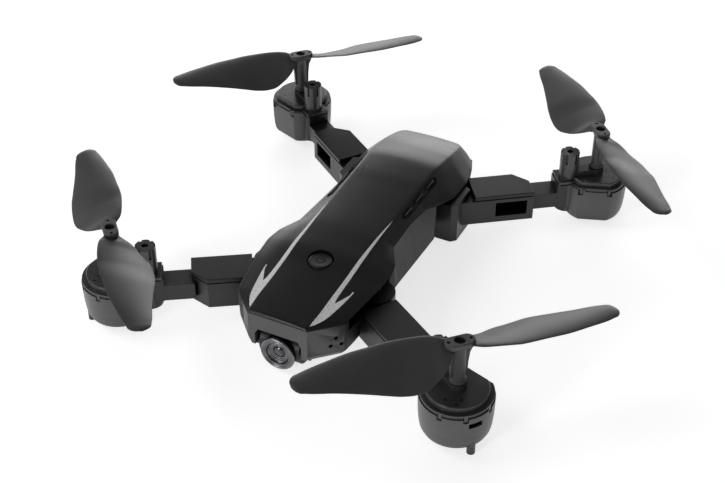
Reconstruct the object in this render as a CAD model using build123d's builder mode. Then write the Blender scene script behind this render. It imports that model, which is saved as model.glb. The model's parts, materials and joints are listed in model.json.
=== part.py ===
from build123d import *
import os
from math import atan2, cos, degrees, pi, radians, sin, sqrt
from types import SimpleNamespace

# A small camera drone with four folding arms: body shells, camera, battery, arms, propellers.
# Millimetres, +Z up, nose towards -Y, left side at +X.  The four feet stand on z = 0,
# x = 0 is the symmetry plane and y = 0 is midway between the propeller rows.

os.makedirs("parts", exist_ok=True)

# ---------------------------------------------------------------- shared sizes
HUB_X, HUB_Y = 65.0, 67.6            # propeller axes
WALL = 1.3                           # body shell
JOINT_GAP = 0.05                     # between pieces of the body that meet
FASCIA_Y = -58.3                     # joint between the nose fascia and the lower shell
BEYOND = 40                          # half width of blocks that reach past the body
SIDES = (1, -1)                      # left, right

# hinges
PIN_R = 1.5
PIN_HEAD_R, PIN_HEAD_T = 2.6, 1.5
HINGE_BOSS_R = 4.6
BOSS_CLEARANCE = 0.4                 # from the top of a knuckle to the boss above it

# One row of arms.  `end` is the sign of its y, `sweep` its angle from straight sideways and
# `pivot` the left hinge axis.  `cut_outline` is the left arm's sweep through the lower shell.
FRONT = SimpleNamespace(
    end=-1, sweep=33.0, pivot=(20.7, -35.0), top=18.2,
    narrow_top=14.95, narrow_bottom=8.3, wide_bottom=5.85,
    knuckle_radius=6.6, knuckle_bottom=5.85, pin_head_top=7.4, pin_reach=3.5,
    cut_radius=10.6,
    cut_outline=[(14.7, -44.1), (31, -54.7), (60, -54.7), (60, 0), (26.3, 0), (16.4, -33.8)],
)
REAR = SimpleNamespace(
    end=1, sweep=36.0, pivot=(20.5, 31.0), top=17.2,
    narrow_top=14.0, narrow_bottom=7.5, wide_bottom=5.0,
    knuckle_radius=7.8, knuckle_bottom=0.6, pin_head_top=3.4, pin_reach=0.7,
    cut_radius=10.8,
    cut_outline=[(14.0, 39.9), (30, 51.6), (60, 51.6), (60, 0), (24.9, 0), (16.2, 29.8)],
)
# (x, y, underside of the boss, row)
HINGES = [
    (side * row.pivot[0], row.pivot[1], row.top + BOSS_CLEARANCE, row)
    for row in (FRONT, REAR)
    for side in SIDES
]

# screw posts, split between the two shells
POSTS = [(13.4, -52.0), (-13.4, -52.0), (12.5, -8.0), (-12.5, -8.0), (15.2, 50.0), (-15.2, 50.0)]
POST_R = 2.2
POST_BOTTOM, POST_JOINT_Z = 2, 17.0
SCREW_HEAD_Z, SCREW_HEAD_T = 7.9, 1.25

# camera: trunnion axis, lens axis and trunnion ears
CAM_Y, CAM_Z = -61.6, 8.6
LENS_Z = 7.9
CAM_R = 6.1
EAR_X = 8.9                          # inner face of the ears, also the opening's half width
BOTTOM_CAM_Y, BOTTOM_CAM_R = -20, 3.0

# board, switch and button
BUTTON_Y, BUTTON_R, BUTTON_HOLE_R, BUTTON_TRAVEL = -37.0, 4.3, 4.7, 0.6
BUTTON_TOP = 26.05
BOARD_BOTTOM, BOARD_T = 15.05, 1.2
SWITCH_TOP = 20.5

# gear train and shaft
MODULE, GEAR_TEETH, PINION_TEETH = 0.5, 34, 10
MOTOR_U = -MODULE * (GEAR_TEETH + PINION_TEETH) / 2   # motor axis, towards the body
MOTOR_R, MOTOR_BOTTOM, MOTOR_TOP = 2.9, 10.2, 28.7
SHAFT_R, SHAFT_BOTTOM, SHAFT_TOP = 0.75, 3.4, 33.0
BUSH_R = 1.5
SLIDE_FIT = 0.01                     # on the radius of a hole that holds a pin or a bush

# arm beam, along u from the propeller axis
HALF_WIDE, HALF_NARROW = 13.7 / 2, 8.5 / 2
WIDE_END, WIDE_SHOULDER = -26.0, -31.5
COVER_T = 1.6
LIGHT_U = -18.6

# pod at the arm's end
POD_R, POD_FLAT, POD_WALL = 12.35, 10.5, 1.1
FLAT_ANGLE = 106                     # direction of the pod's flat, from u towards v
POD_BOTTOM, CUP_TOP, CAP_TOP = 1.95, 17.6, 18.85
POD_FLOOR = POD_BOTTOM + 1.25
PLATEAU_SHARE, PLATEAU_TOP, BRIDGE_TOP = 0.863, 20.1, 22.0
CAP_BOTTOM = CUP_TOP + 0.05
BUSH_SEAT_Z = BRIDGE_TOP - 2.1       # upper bush
CLIP_ANGLES = [25, 78, 134, -60, -20]
FLAT_CLIPS = (78, 134)               # the clips that stand on the flat
# (z, share of the full outline)
POD_PROFILE = [
    (POD_BOTTOM, 0.70), (2.35, 0.80), (3.2, 0.885), (4.6, 0.94),
    (6.6, 0.97), (10.0, 0.99), (14.0, 1.0), (CUP_TOP, 1.0),
]
POD_CAVITY = [
    (POD_FLOOR, 0.84), (4.6, 0.915), (6.2, 0.965), (10.0, 0.99), (14.0, 1.0), (CUP_TOP + 1, 1.0),
]
CAP_PROFILE = [
    (CUP_TOP + 0.5, PLATEAU_SHARE + 0.01),
    (PLATEAU_TOP - 0.25, PLATEAU_SHARE),
    (PLATEAU_TOP, PLATEAU_SHARE - 0.02),
]

# propeller
PROP_TOP, PROP_SLOT_Z = 39.0, 36.9
PROP_BOTTOM = BRIDGE_TOP + 0.2
BLADE_R = 54.2
# (radius, leading offset, trailing offset, leading z, trailing z, thickness)
BLADE = [
    (3.0, -2.6, 2.6, 37.9, 36.4, 1.6),
    (6.0, -4.8, 6.0, 38.4, 34.2, 1.4),
    (10.5, -6.1, 8.4, 38.6, 31.9, 1.3),
    (15.0, -6.9, 10.3, 38.45, 30.9, 1.2),
    (18.0, -7.3, 10.6, 38.3, 30.9, 1.15),
    (22.0, -7.4, 10.4, 38.3, 31.4, 1.1),
    (27.0, -7.2, 9.7, 38.1, 32.6, 1.05),
    (32.0, -7.1, 8.4, 37.9, 33.5, 1.0),
    (42.0, -5.8, 5.9, 37.4, 34.9, 0.9),
    (50.0, -4.3, 4.3, 36.9, 35.8, 0.8),
    (BLADE_R - 1.2, -2.8, 2.9, 36.8, 36.1, 0.7),
    (BLADE_R, -1.2, 1.2, 36.7, 36.3, 0.6),
]

# body stations along y: (y, top half width, top edge z, crown, seam half width, seam z,
#                         lower side half width, its z, bottom half width, bottom z)
STATIONS = [
    (-68.0, 11.0, 22.5, 0.4, 11.3, 21.6, 11.3, 10.4, 10.2, 8.4),
    (FASCIA_Y, 12.1, 23.2, 0.6, 21.0, 21.2, 20.6, 9.4, 19.0, 7.6),
    (-52.0, 12.3, 23.7, 0.7, 21.9, 21.9, 21.0, 9.0, 19.3, 7.2),
    (-41.6, 12.7, 24.7, 0.8, 23.6, 22.8, 21.0, 8.8, 19.3, 6.8),
    (-31.2, 12.95, 26.2, 0.8, 24.6, 23.1, 20.8, 8.6, 19.2, 6.6),
    (-25.0, 13.0, 26.6, 0.8, 23.3, 23.6, 20.7, 8.5, 19.2, 6.5),
    (-17.5, 13.1, 27.0, 0.8, 18.8, 24.6, 20.6, 8.5, 19.2, 6.5),
    (-2.6, 13.3, 27.3, 0.8, 18.1, 24.3, 20.8, 8.4, 19.4, 6.5),
    (10.4, 13.7, 27.7, 0.8, 18.5, 22.9, 21.0, 8.4, 19.6, 6.5),
    (19.0, 13.9, 28.0, 0.8, 20.6, 20.2, 21.2, 8.4, 19.8, 6.5),
    (28.0, 14.1, 28.08, 0.8, 22.6, 18.0, 21.4, 8.4, 19.8, 6.5),
    (40.0, 14.2, 26.8, 0.8, 22.8, 17.8, 21.2, 8.6, 19.4, 6.7),
    (50.0, 13.6, 24.7, 0.7, 20.6, 17.6, 19.6, 9.0, 17.8, 7.1),
    (56.5, 12.6, 22.85, 0.5, 18.0, 17.4, 17.4, 9.6, 15.6, 7.8),
    (58.4, 10.0, 22.2, 0.4, 13.0, 17.3, 12.6, 10.2, 11.0, 8.6),
]
# the cavity stops short of both ends
CAVITY_STATIONS = [(-66.2, *STATIONS[0][1:])] + STATIONS[1:-1]


def save(piece, name):
    piece.label = name
    export_step(piece, f"parts/{name}.step")


def facing_nose(y):
    """Plane across the body at y: local x is x, local y is z, and it extrudes to the nose."""
    return Plane(origin=(0, y, 0), x_dir=(1, 0, 0), z_dir=(0, -1, 0))


# ---------------------------------------------------------------- body envelope
def body_section(station, inset):
    """Closed outline at a station, drawn in by about `inset`."""
    _, top_x, top_z, crown, seam_x, seam_z, side_x, side_z, bottom_x, bottom_z = station
    half = [
        (0, top_z + crown - inset),
        (top_x - 0.45 * inset, top_z - 1.05 * inset),
        (seam_x - 1.25 * inset, seam_z - 0.45 * inset),
        (side_x - 1.0 * inset, side_z + 0.35 * inset),
        (bottom_x - 0.8 * inset, bottom_z + 1.0 * inset),
    ]
    return half + [(-x, z) for x, z in reversed(half[1:])]


def body_loft(stations, inset=0.0):
    with BuildPart() as body:
        for station in stations:
            with BuildSketch(facing_nose(station[0])):
                with BuildLine():
                    Polyline(*body_section(station, inset), close=True)
                make_face()
        loft(ruled=True)
    return body.part


def seam_block(drop, far_z):
    """Block between the seam, lowered by `drop`, and the height far_z."""
    seam = [(station[0], station[5] - drop) for station in STATIONS]
    seam[0] = (seam[0][0] - 4, seam[0][1])
    seam[-1] = (seam[-1][0] + 4, seam[-1][1])
    with BuildPart() as block:
        with BuildSketch(Plane.YZ.offset(-BEYOND)):
            with BuildLine():
                Polyline(*seam, (63, far_z), (-73, far_z), close=True)
            make_face()
        extrude(amount=2 * BEYOND)
    return block.part


def hollow_body():
    with BuildPart() as body:
        add(envelope)
        add(cavity, mode=Mode.SUBTRACT)
    return body.part


def hinge_bosses():
    with BuildPart() as bosses:
        for x, y, boss_z, _ in HINGES:
            with BuildSketch(Plane.XY.offset(boss_z)):
                with Locations((x, y)):
                    Circle(HINGE_BOSS_R)
            extrude(amount=20)
        add(envelope, mode=Mode.INTERSECT)
    return bosses.part


def screw_posts(bottom, height):
    """Posts cut off at the outside of the body."""
    with BuildPart() as posts:
        with BuildSketch(Plane.XY.offset(bottom)):
            with Locations(*POSTS):
                Circle(POST_R)
        extrude(amount=height)
        add(envelope, mode=Mode.INTERSECT)
    return posts.part


envelope = body_loft(STATIONS)
cavity = body_loft(CAVITY_STATIONS, WALL)
shell_all = hollow_body()
below_seam = seam_block(JOINT_GAP, far_z=-10)


# ---------------------------------------------------------------- shells
def top_shell():
    above_seam = seam_block(0, far_z=45)
    bosses = hinge_bosses()
    posts = screw_posts(POST_JOINT_Z, 20)
    with BuildPart() as shell:
        add(shell_all)
        add(above_seam, mode=Mode.INTERSECT)
        add(bosses)
        # screw posts hang from the roof down to the lower shell's posts
        add(posts)
        # the power button's well
        with BuildSketch(Plane.XY.offset(20)):
            with Locations((0, BUTTON_Y)):
                Circle(BUTTON_HOLE_R)
        extrude(amount=12, mode=Mode.SUBTRACT)
        # hinge pin holes, 0.1 deeper than the pins reach
        for x, y, boss_z, row in HINGES:
            with BuildSketch(Plane.XY.offset(boss_z - 1)):
                with Locations((x, y)):
                    Circle(PIN_R + SLIDE_FIT)
            extrude(amount=1 + row.pin_reach + 0.1, mode=Mode.SUBTRACT)
        # screw holes
        with BuildSketch(Plane.XY.offset(POST_JOINT_Z - 0.1)):
            with Locations(*POSTS):
                Circle(0.8)
        extrude(amount=5.0, mode=Mode.SUBTRACT)
        # three cooling windows in the slope on each side
        for side in SIDES:
            for y in (2.0, 11.5, 21.0):
                slope = Plane(
                    origin=(side * 14.9, y, 25.2), x_dir=(0, 1, 0), z_dir=(side, 0, 0.55)
                )
                with BuildSketch(slope):
                    Rectangle(5.2, 2.0)
                extrude(amount=2.6, both=True, mode=Mode.SUBTRACT)
    return shell.part


def lower_shell():
    floor_z = 7.6
    posts = screw_posts(POST_BOTTOM, POST_JOINT_Z - JOINT_GAP - POST_BOTTOM)
    with BuildPart() as shell:
        add(shell_all)
        add(below_seam, mode=Mode.INTERSECT)
        # everything in front of the fascia's joint goes
        with BuildSketch(Plane.XY.offset(-5)):
            with Locations((0, -80)):
                Rectangle(2 * BEYOND, 2 * (80 + FASCIA_Y))
        extrude(amount=50, mode=Mode.SUBTRACT)
        add(posts)
        # board standoffs
        with BuildSketch(Plane.XY.offset(floor_z)):
            with Locations((8, -46), (-8, -46), (8, -14), (-8, -14)):
                Circle(1.6)
        extrude(amount=7.4)
        # walls that close the slots beside the nose
        with BuildSketch(Plane.XY.offset(floor_z)):
            with Locations((16.8, -50.0), (-16.8, -50.0)):
                Rectangle(1.2, 14.0)
        extrude(amount=12.8)
        for side in SIDES:
            for row in (FRONT, REAR):
                # room for the arm's knuckle and its sweep
                with BuildSketch(Plane.XY.offset(-2)):
                    with Locations((side * row.pivot[0], row.pivot[1])):
                        Circle(row.cut_radius)
                    with BuildLine():
                        Polyline(*[(side * x, y) for x, y in row.cut_outline], close=True)
                    make_face()
                extrude(amount=40, mode=Mode.SUBTRACT)
                if row is FRONT:
                    # slot that runs under the shoulder in front of the arm
                    with BuildSketch(Plane.XY.offset(17.2)):
                        with Locations((side * 24, -49)):
                            Rectangle(13, 15.5)
                    extrude(amount=12, mode=Mode.SUBTRACT)
        # battery bay, open at the rear
        with BuildSketch(Plane.XY.offset(8.25)):
            with Locations((0, 40)):
                Rectangle(25.6, 60)
        extrude(amount=8.95, mode=Mode.SUBTRACT)
        # screw holes with counterbores from below
        with BuildSketch(Plane.XY):
            with Locations(*POSTS):
                Circle(0.85)
        extrude(amount=30, mode=Mode.SUBTRACT)
        with BuildSketch(Plane.XY):
            with Locations(*POSTS):
                Circle(1.7)
        extrude(amount=SCREW_HEAD_Z + SCREW_HEAD_T + 0.05, mode=Mode.SUBTRACT)
        # clearance for the camera's round back
        with BuildSketch(Plane.XY):
            with Locations((0, -56.9)):
                Rectangle(17.0, 3.4)
        extrude(amount=15.6, mode=Mode.SUBTRACT)
        # window of the downward camera
        with BuildSketch(Plane.XY):
            with Locations((0, BOTTOM_CAM_Y)):
                Circle(BOTTOM_CAM_R + 0.05)
        extrude(amount=8.6, mode=Mode.SUBTRACT)
    return shell.part


def nose_fascia():
    opening = [(-EAR_X, -2), (-EAR_X, 13.2), (-7.7, 15.4), (7.7, 15.4), (EAR_X, 13.2), (EAR_X, -2)]
    ear = [(-65.2, 6.2), (-58.9, 6.2), (-58.9, 18), (-65.2, 18)]
    hole_reach = 10.55
    with BuildPart() as fascia:
        add(envelope)
        add(below_seam, mode=Mode.INTERSECT)
        add(cavity, mode=Mode.SUBTRACT)
        # everything behind the joint goes
        with BuildSketch(Plane.XY.offset(-5)):
            with Locations((0, 100 + FASCIA_Y - JOINT_GAP)):
                Rectangle(2 * BEYOND, 200)
        extrude(amount=50, mode=Mode.SUBTRACT)
        # camera opening, open below
        with BuildSketch(facing_nose(-50)):
            with BuildLine():
                Polyline(*opening, close=True)
            make_face()
        extrude(amount=30, mode=Mode.SUBTRACT)
        # ears that carry the camera's trunnions
        for side in SIDES:
            with BuildSketch(Plane.YZ.offset(side * EAR_X)):
                with BuildLine():
                    Polyline(*ear, close=True)
                make_face()
            extrude(amount=side * 1.9)
        with BuildSketch(Plane.YZ.offset(-hole_reach)):
            with Locations((CAM_Y, CAM_Z)):
                Circle(1.56)
        extrude(amount=2 * hole_reach, mode=Mode.SUBTRACT)
        # three holes in each slanting side face
        for side in SIDES:
            side_face = Plane(
                origin=(side * 18.5, -60.9, 14.3),
                x_dir=(0.72, side * 0.69, 0),
                z_dir=(side * 0.69, -0.72, 0),
            )
            with BuildSketch(side_face):
                with Locations((-1.9, -1.4), (1.9, -1.4), (0, 1.7)):
                    Circle(0.75)
            extrude(amount=4.0, both=True, mode=Mode.SUBTRACT)
    return fascia.part


# ---------------------------------------------------------------- cameras
def camera_housing():
    half_width, trunnion_reach = 7.6, 10.4
    with BuildPart() as housing:
        # round back about the trunnion axis
        with BuildSketch(Plane.YZ.offset(-half_width)):
            with Locations((CAM_Y, CAM_Z)):
                Circle(CAM_R)
        extrude(amount=2 * half_width)
        # barrel towards the nose
        with BuildSketch(facing_nose(CAM_Y)):
            with Locations((0, LENS_Z)):
                Circle(CAM_R)
        extrude(amount=6.2)
        # trunnions
        with BuildSketch(Plane.YZ.offset(-trunnion_reach)):
            with Locations((CAM_Y, CAM_Z)):
                Circle(PIN_R)
        extrude(amount=2 * trunnion_reach)
        # lens pocket
        with BuildSketch(facing_nose(CAM_Y - 2.4)):
            with Locations((0, LENS_Z)):
                Circle(4.1)
        extrude(amount=6, mode=Mode.SUBTRACT)
    return housing.part


def camera_lens_ring():
    with BuildPart() as ring:
        with BuildSketch(facing_nose(CAM_Y - 6.2)):
            with Locations((0, LENS_Z)):
                Circle(6.5)
                Circle(4.2, mode=Mode.SUBTRACT)
        extrude(amount=1.5)
        # both edges of the front face
        chamfer(ring.edges().filter_by(GeomType.CIRCLE).group_by(Axis.Y)[0], length=0.5)
    return ring.part


def camera_lens():
    lens_back = CAM_Y - 2.45
    with BuildPart() as lens:
        with BuildSketch(facing_nose(lens_back)):
            with Locations((0, LENS_Z)):
                Circle(4.05)
        extrude(amount=3.6)
        with BuildSketch(facing_nose(lens_back - 3.6)):
            with Locations((0, LENS_Z)):
                Circle(2.4)
        extrude(amount=0.7)
    return lens.part


def bottom_camera():
    bottom = 6.2
    with BuildPart() as camera:
        with BuildSketch(Plane.XY.offset(bottom)):
            with Locations((0, BOTTOM_CAM_Y)):
                Circle(BOTTOM_CAM_R)
        extrude(amount=3.6)
        with BuildSketch(Plane.XY.offset(bottom)):
            with Locations((0, BOTTOM_CAM_Y)):
                Circle(1.6)
        extrude(amount=0.5, mode=Mode.SUBTRACT)
    return camera.part


# ---------------------------------------------------------------- inside the body
def main_board():
    with BuildPart() as board:
        with BuildSketch(Plane.XY.offset(BOARD_BOTTOM)):
            with Locations((0, -30)):
                Rectangle(19.6, 40)
        extrude(amount=BOARD_T)
        # three blocks on top, sunk 0.05 into the board
        with BuildSketch(Plane.XY.offset(BOARD_BOTTOM + BOARD_T - 0.05)):
            with Locations((0, -20)):
                Rectangle(8, 8)
            with Locations((-6, -44)):
                Rectangle(5, 4)
            with Locations((6, -44)):
                Rectangle(3, 5)
        extrude(amount=1.2)
    return board.part


def tact_switch():
    plunger = 1.0
    case_bottom = BOARD_BOTTOM + BOARD_T + 0.05
    case_top = SWITCH_TOP - plunger
    with BuildPart() as switch:
        with BuildSketch(Plane.XY.offset(case_bottom)):
            with Locations((0, BUTTON_Y)):
                Rectangle(6, 6)
        extrude(amount=case_top - case_bottom)
        with BuildSketch(Plane.XY.offset(case_top)):
            with Locations((0, BUTTON_Y)):
                Circle(1.7)
        extrude(amount=plunger)
    return switch.part


def power_button():
    thickness, dish_depth = 2.0, 0.3
    with BuildPart() as button:
        with BuildSketch(Plane.XY.offset(BUTTON_TOP - thickness)):
            with Locations((0, BUTTON_Y)):
                Circle(BUTTON_R)
        extrude(amount=thickness)
        # stem, which stands above the switch by the travel
        with BuildSketch(Plane.XY.offset(SWITCH_TOP + BUTTON_TRAVEL + 0.05)):
            with Locations((0, BUTTON_Y)):
                Circle(1.4)
        extrude(amount=3.2)
        # finger dish
        with BuildSketch(Plane.XY.offset(BUTTON_TOP - dish_depth)):
            with Locations((0, BUTTON_Y)):
                Circle(3.2)
        extrude(amount=1, mode=Mode.SUBTRACT)
    return button.part


def battery_pack():
    with BuildPart() as battery:
        with BuildSketch(Plane.XY.offset(8.3)):
            with Locations((0, 29.6)):
                Rectangle(25.0, 57.2)
        extrude(amount=8.75)
        fillet(battery.edges().filter_by(Axis.Y), radius=1.2)
        # finger grip across the rear end
        with BuildSketch(Plane.XY.offset(15.6)):
            with Locations((0, 55.8)):
                Rectangle(14, 2.0)
        extrude(amount=3, mode=Mode.SUBTRACT)
    return battery.part


def shell_screws():
    with BuildPart() as screws:
        with BuildSketch(Plane.XY.offset(SCREW_HEAD_Z)):
            with Locations(*POSTS):
                Circle(1.55)
        extrude(amount=SCREW_HEAD_T)
        with BuildSketch(Plane.XY.offset(SCREW_HEAD_Z + SCREW_HEAD_T)):
            with Locations(*POSTS):
                Circle(0.75)
        extrude(amount=11.0)
        # cross recess
        with BuildSketch(Plane.XY.offset(SCREW_HEAD_Z)):
            with Locations(*POSTS):
                Rectangle(1.8, 0.4)
                Rectangle(0.4, 1.8)
        extrude(amount=0.5, mode=Mode.SUBTRACT)
    return screws.part


def hinge_pins():
    with BuildPart() as pins:
        for x, y, boss_z, row in HINGES:
            with BuildSketch(Plane.XY.offset(row.pin_head_top)):
                with Locations((x, y)):
                    Circle(PIN_R)
            extrude(amount=boss_z + row.pin_reach - row.pin_head_top)
            with BuildSketch(Plane.XY.offset(row.pin_head_top - PIN_HEAD_T)):
                with Locations((x, y)):
                    Circle(PIN_HEAD_R)
            extrude(amount=PIN_HEAD_T)
            # cross recess
            with BuildSketch(Plane.XY.offset(row.pin_head_top - PIN_HEAD_T)):
                with Locations((x, y)):
                    Rectangle(3.0, 0.6)
                    Rectangle(0.6, 3.0)
            extrude(amount=0.7, mode=Mode.SUBTRACT)
    return pins.part


# ---------------------------------------------------------------- arm frame and outlines
class Arm:
    """Frame of one arm: u runs outwards from the propeller axis, v to the folding side."""

    def __init__(self, name, row, side, blade_angle):
        self.name, self.row, self.side = name, row, side
        self.blade_angle = radians(blade_angle)
        self.hub = (side * HUB_X, row.end * HUB_Y)
        self.pivot = (side * row.pivot[0], row.pivot[1])
        self.angle = row.end * row.sweep if side > 0 else 180 - row.end * row.sweep
        self.fold = -row.end * side
        self.u_dir = (cos(radians(self.angle)), sin(radians(self.angle)))
        self.v_dir = (-self.fold * self.u_dir[1], self.fold * self.u_dir[0])
        offset = (self.pivot[0] - self.hub[0], self.pivot[1] - self.hub[1])
        self.pivot_u = offset[0] * self.u_dir[0] + offset[1] * self.u_dir[1]
        self.pivot_v = offset[0] * self.v_dir[0] + offset[1] * self.v_dir[1]
        self.motor = (
            self.hub[0] + MOTOR_U * self.u_dir[0],
            self.hub[1] + MOTOR_U * self.u_dir[1],
        )

    def plane(self, z):
        return Plane(origin=(*self.hub, z), x_dir=(*self.u_dir, 0), z_dir=(0, 0, 1))

    def spoke_plane(self, angle, z):
        """Like plane(z), with its x turned by `angle` from u towards v."""
        u, v = cos(radians(angle)), sin(radians(angle))
        x_dir = (
            self.u_dir[0] * u + self.v_dir[0] * v,
            self.u_dir[1] * u + self.v_dir[1] * v,
            0,
        )
        return Plane(origin=(*self.hub, z), x_dir=x_dir, z_dir=(0, 0, 1))

    def local(self, points, share=1.0):
        """(u, v) points, scaled by `share`, as points of plane(z)."""
        return [(share * u, self.fold * share * v) for u, v in points]

    def box(self, u0, u1, v0, v1):
        return self.local([(u0, v0), (u1, v0), (u1, v1), (u0, v1)])

    def wide_outline(self, start_u):
        """The wide beam from start_u out to its end, with one corner cut off."""
        return self.local([
            (start_u, -HALF_WIDE), (WIDE_SHOULDER, -HALF_WIDE), (WIDE_END, -1.4),
            (WIDE_END, HALF_WIDE), (start_u, HALF_WIDE),
        ])


def arc_points(radius, start, end, count):
    angles = [radians(start + (end - start) * k / count) for k in range(count + 1)]
    return [(radius * cos(angle), radius * sin(angle)) for angle in angles]


def pod_outline(inset):
    """A circle with one flat."""
    radius, flat = POD_R - inset, POD_FLAT - inset
    half = degrees(atan2(sqrt(radius**2 - flat**2), flat))
    return arc_points(radius, FLAT_ANGLE + half, FLAT_ANGLE - half + 360, 72)


POD_OUTER = pod_outline(0)
POD_INNER = pod_outline(POD_WALL)
POD_CAP = pod_outline(0.3)


def rear_knuckle_outline(arm):
    """A circle with three flats on its outer front quarter."""
    front_flat, slant_flat, outer_flat = 7.1, 7.0, 4.7     # distances from the hinge axis
    radius = arm.row.knuckle_radius
    front_x = -sqrt(radius**2 - front_flat**2)
    arc_start = degrees(atan2(sqrt(radius**2 - outer_flat**2), outer_flat))
    arc_end = 360 - degrees(atan2(front_flat, front_x))
    points = [
        (front_x, -front_flat),
        (slant_flat * sqrt(2) - front_flat, -front_flat),
        (outer_flat, outer_flat - slant_flat * sqrt(2)),
        *arc_points(radius, arc_start, arc_end - 1, 40),
    ]
    return [(arm.pivot[0] + arm.side * x, arm.pivot[1] + y) for x, y in points]


# ---------------------------------------------------------------- arm pieces
def arm_body(arm):
    row = arm.row
    shell_top = row.top - COVER_T - 0.35
    housing_r, pocket_r = 4.3, 3.3           # below the motor
    groove_z, groove_share = 16.7, 0.962
    neck = [(-16.2, -HALF_NARROW), (-15.0, -5.0), (0, -5.0), (0, 5.0), (-15.0, 5.0),
            (-16.2, HALF_NARROW)]
    hollow_start = arm.pivot_u + row.knuckle_radius + 1.5
    hollow_v, hollow_end = HALF_WIDE - 1.2, WIDE_END - 1.6
    hollow = [(hollow_start, -hollow_v), (-32.2, -hollow_v), (hollow_end, -1.7),
              (hollow_end, hollow_v), (hollow_start, hollow_v)]

    with BuildPart() as body:
        # pod cup, drawn in towards its rounded bottom
        for z, share in POD_PROFILE:
            with BuildSketch(arm.plane(z)):
                with BuildLine():
                    Polyline(*arm.local(POD_OUTER, share), close=True)
                make_face()
        loft(ruled=True)
        # neck that holds the motor
        with BuildSketch(arm.plane(row.narrow_bottom)):
            with BuildLine():
                Polyline(*arm.local(neck), close=True)
            make_face()
        extrude(amount=CUP_TOP - row.narrow_bottom)
        with BuildSketch(arm.plane(4.8)):
            with Locations((MOTOR_U, 0)):
                Circle(housing_r)
            with Locations((MOTOR_U / 2, 0)):
                Rectangle(-MOTOR_U, 2 * housing_r)
        extrude(amount=6)
        # narrow beam
        with BuildSketch(arm.plane(row.narrow_bottom)):
            with BuildLine():
                Polyline(*arm.box(WIDE_END - 1, -15, -HALF_NARROW, HALF_NARROW), close=True)
            make_face()
        extrude(amount=row.narrow_top - row.narrow_bottom)
        # wide beam
        with BuildSketch(arm.plane(row.wide_bottom)):
            with BuildLine():
                Polyline(*arm.wide_outline(arm.pivot_u), close=True)
            make_face()
        extrude(amount=shell_top - row.wide_bottom)
        # knuckle
        with BuildSketch(Plane.XY.offset(row.knuckle_bottom)):
            if row is REAR:
                with BuildLine():
                    Polyline(*rear_knuckle_outline(arm), close=True)
                make_face()
            else:
                with Locations(arm.pivot):
                    Circle(row.knuckle_radius)
        extrude(amount=row.top - row.knuckle_bottom)
        # hollow of the wide beam
        with BuildSketch(arm.plane(row.wide_bottom + 1.3)):
            with BuildLine():
                Polyline(*arm.local(hollow), close=True)
            make_face()
        extrude(amount=20, mode=Mode.SUBTRACT)
        # opening in the side that folds against the body
        with BuildSketch(arm.plane(row.wide_bottom + 2.6)):
            with BuildLine():
                Polyline(*arm.box(-41, -28.6, HALF_WIDE - 2, HALF_WIDE + 1), close=True)
            make_face()
        extrude(amount=shell_top - row.wide_bottom - 4.0, mode=Mode.SUBTRACT)
        # cavity of the pod and the neck
        for z, share in POD_CAVITY:
            with BuildSketch(arm.plane(z)):
                with BuildLine():
                    Polyline(*arm.local(POD_INNER, share), close=True)
                make_face()
        loft(ruled=True, mode=Mode.SUBTRACT)
        with BuildSketch(arm.plane(6.0)):
            with Locations((MOTOR_U, 0)):
                Circle(pocket_r)
            with Locations((MOTOR_U / 2, 0)):
                Rectangle(-MOTOR_U, 2 * pocket_r)
        extrude(amount=20, mode=Mode.SUBTRACT)
        # boss for the lower bush
        with BuildSketch(arm.plane(POD_BOTTOM + 1.0)):
            Circle(2.7)
        extrude(amount=2.2)
        with BuildSketch(arm.plane(POD_FLOOR)):
            Circle(BUSH_R + SLIDE_FIT)
        extrude(amount=5, mode=Mode.SUBTRACT)
        # foot
        with BuildSketch(arm.plane(0)):
            with Locations(*arm.local([(10.4, -0.8)])):
                Circle(1.4)
        extrude(amount=5.4)
        # groove under the cap, left out at the neck
        with BuildSketch(arm.plane(groove_z)):
            Circle(POD_R + 2)
            with BuildLine():
                Polyline(*arm.local(POD_OUTER, groove_share), close=True)
            make_face(mode=Mode.SUBTRACT)
            with BuildLine():
                Polyline(*arm.box(-20, -6.5, -9, 9), close=True)
            make_face(mode=Mode.SUBTRACT)
        extrude(amount=CUP_TOP - groove_z + 1, mode=Mode.SUBTRACT)
        # notches for the cap's clips
        for angle in CLIP_ANGLES:
            with BuildSketch(arm.spoke_plane(angle, CUP_TOP - 2.4)):
                with Locations((POD_R - 0.2, 0)):
                    Rectangle(5.0, 1.7)
            extrude(amount=5, mode=Mode.SUBTRACT)
        # window in the outer side
        with BuildSketch(arm.plane(12.6)):
            with BuildLine():
                Polyline(*arm.box(9, 14, -3.2, 1.6), close=True)
            make_face()
        extrude(amount=2.0, mode=Mode.SUBTRACT)
        # recess of the light's lens under the beam
        with BuildSketch(arm.plane(row.narrow_bottom - 1)):
            with Locations((LIGHT_U, 0)):
                Circle(1.75)
        extrude(amount=1.9, mode=Mode.SUBTRACT)
        # hinge bore and the pin head's counterbore
        with BuildSketch(Plane.XY.offset(-1)):
            with Locations(arm.pivot):
                Circle(PIN_R + 0.06)
        extrude(amount=30, mode=Mode.SUBTRACT)
        with BuildSketch(Plane.XY.offset(-1)):
            with Locations(arm.pivot):
                Circle(PIN_HEAD_R + 0.3)
        extrude(amount=row.pin_head_top + 0.05 + 1, mode=Mode.SUBTRACT)
    return body.part


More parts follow.
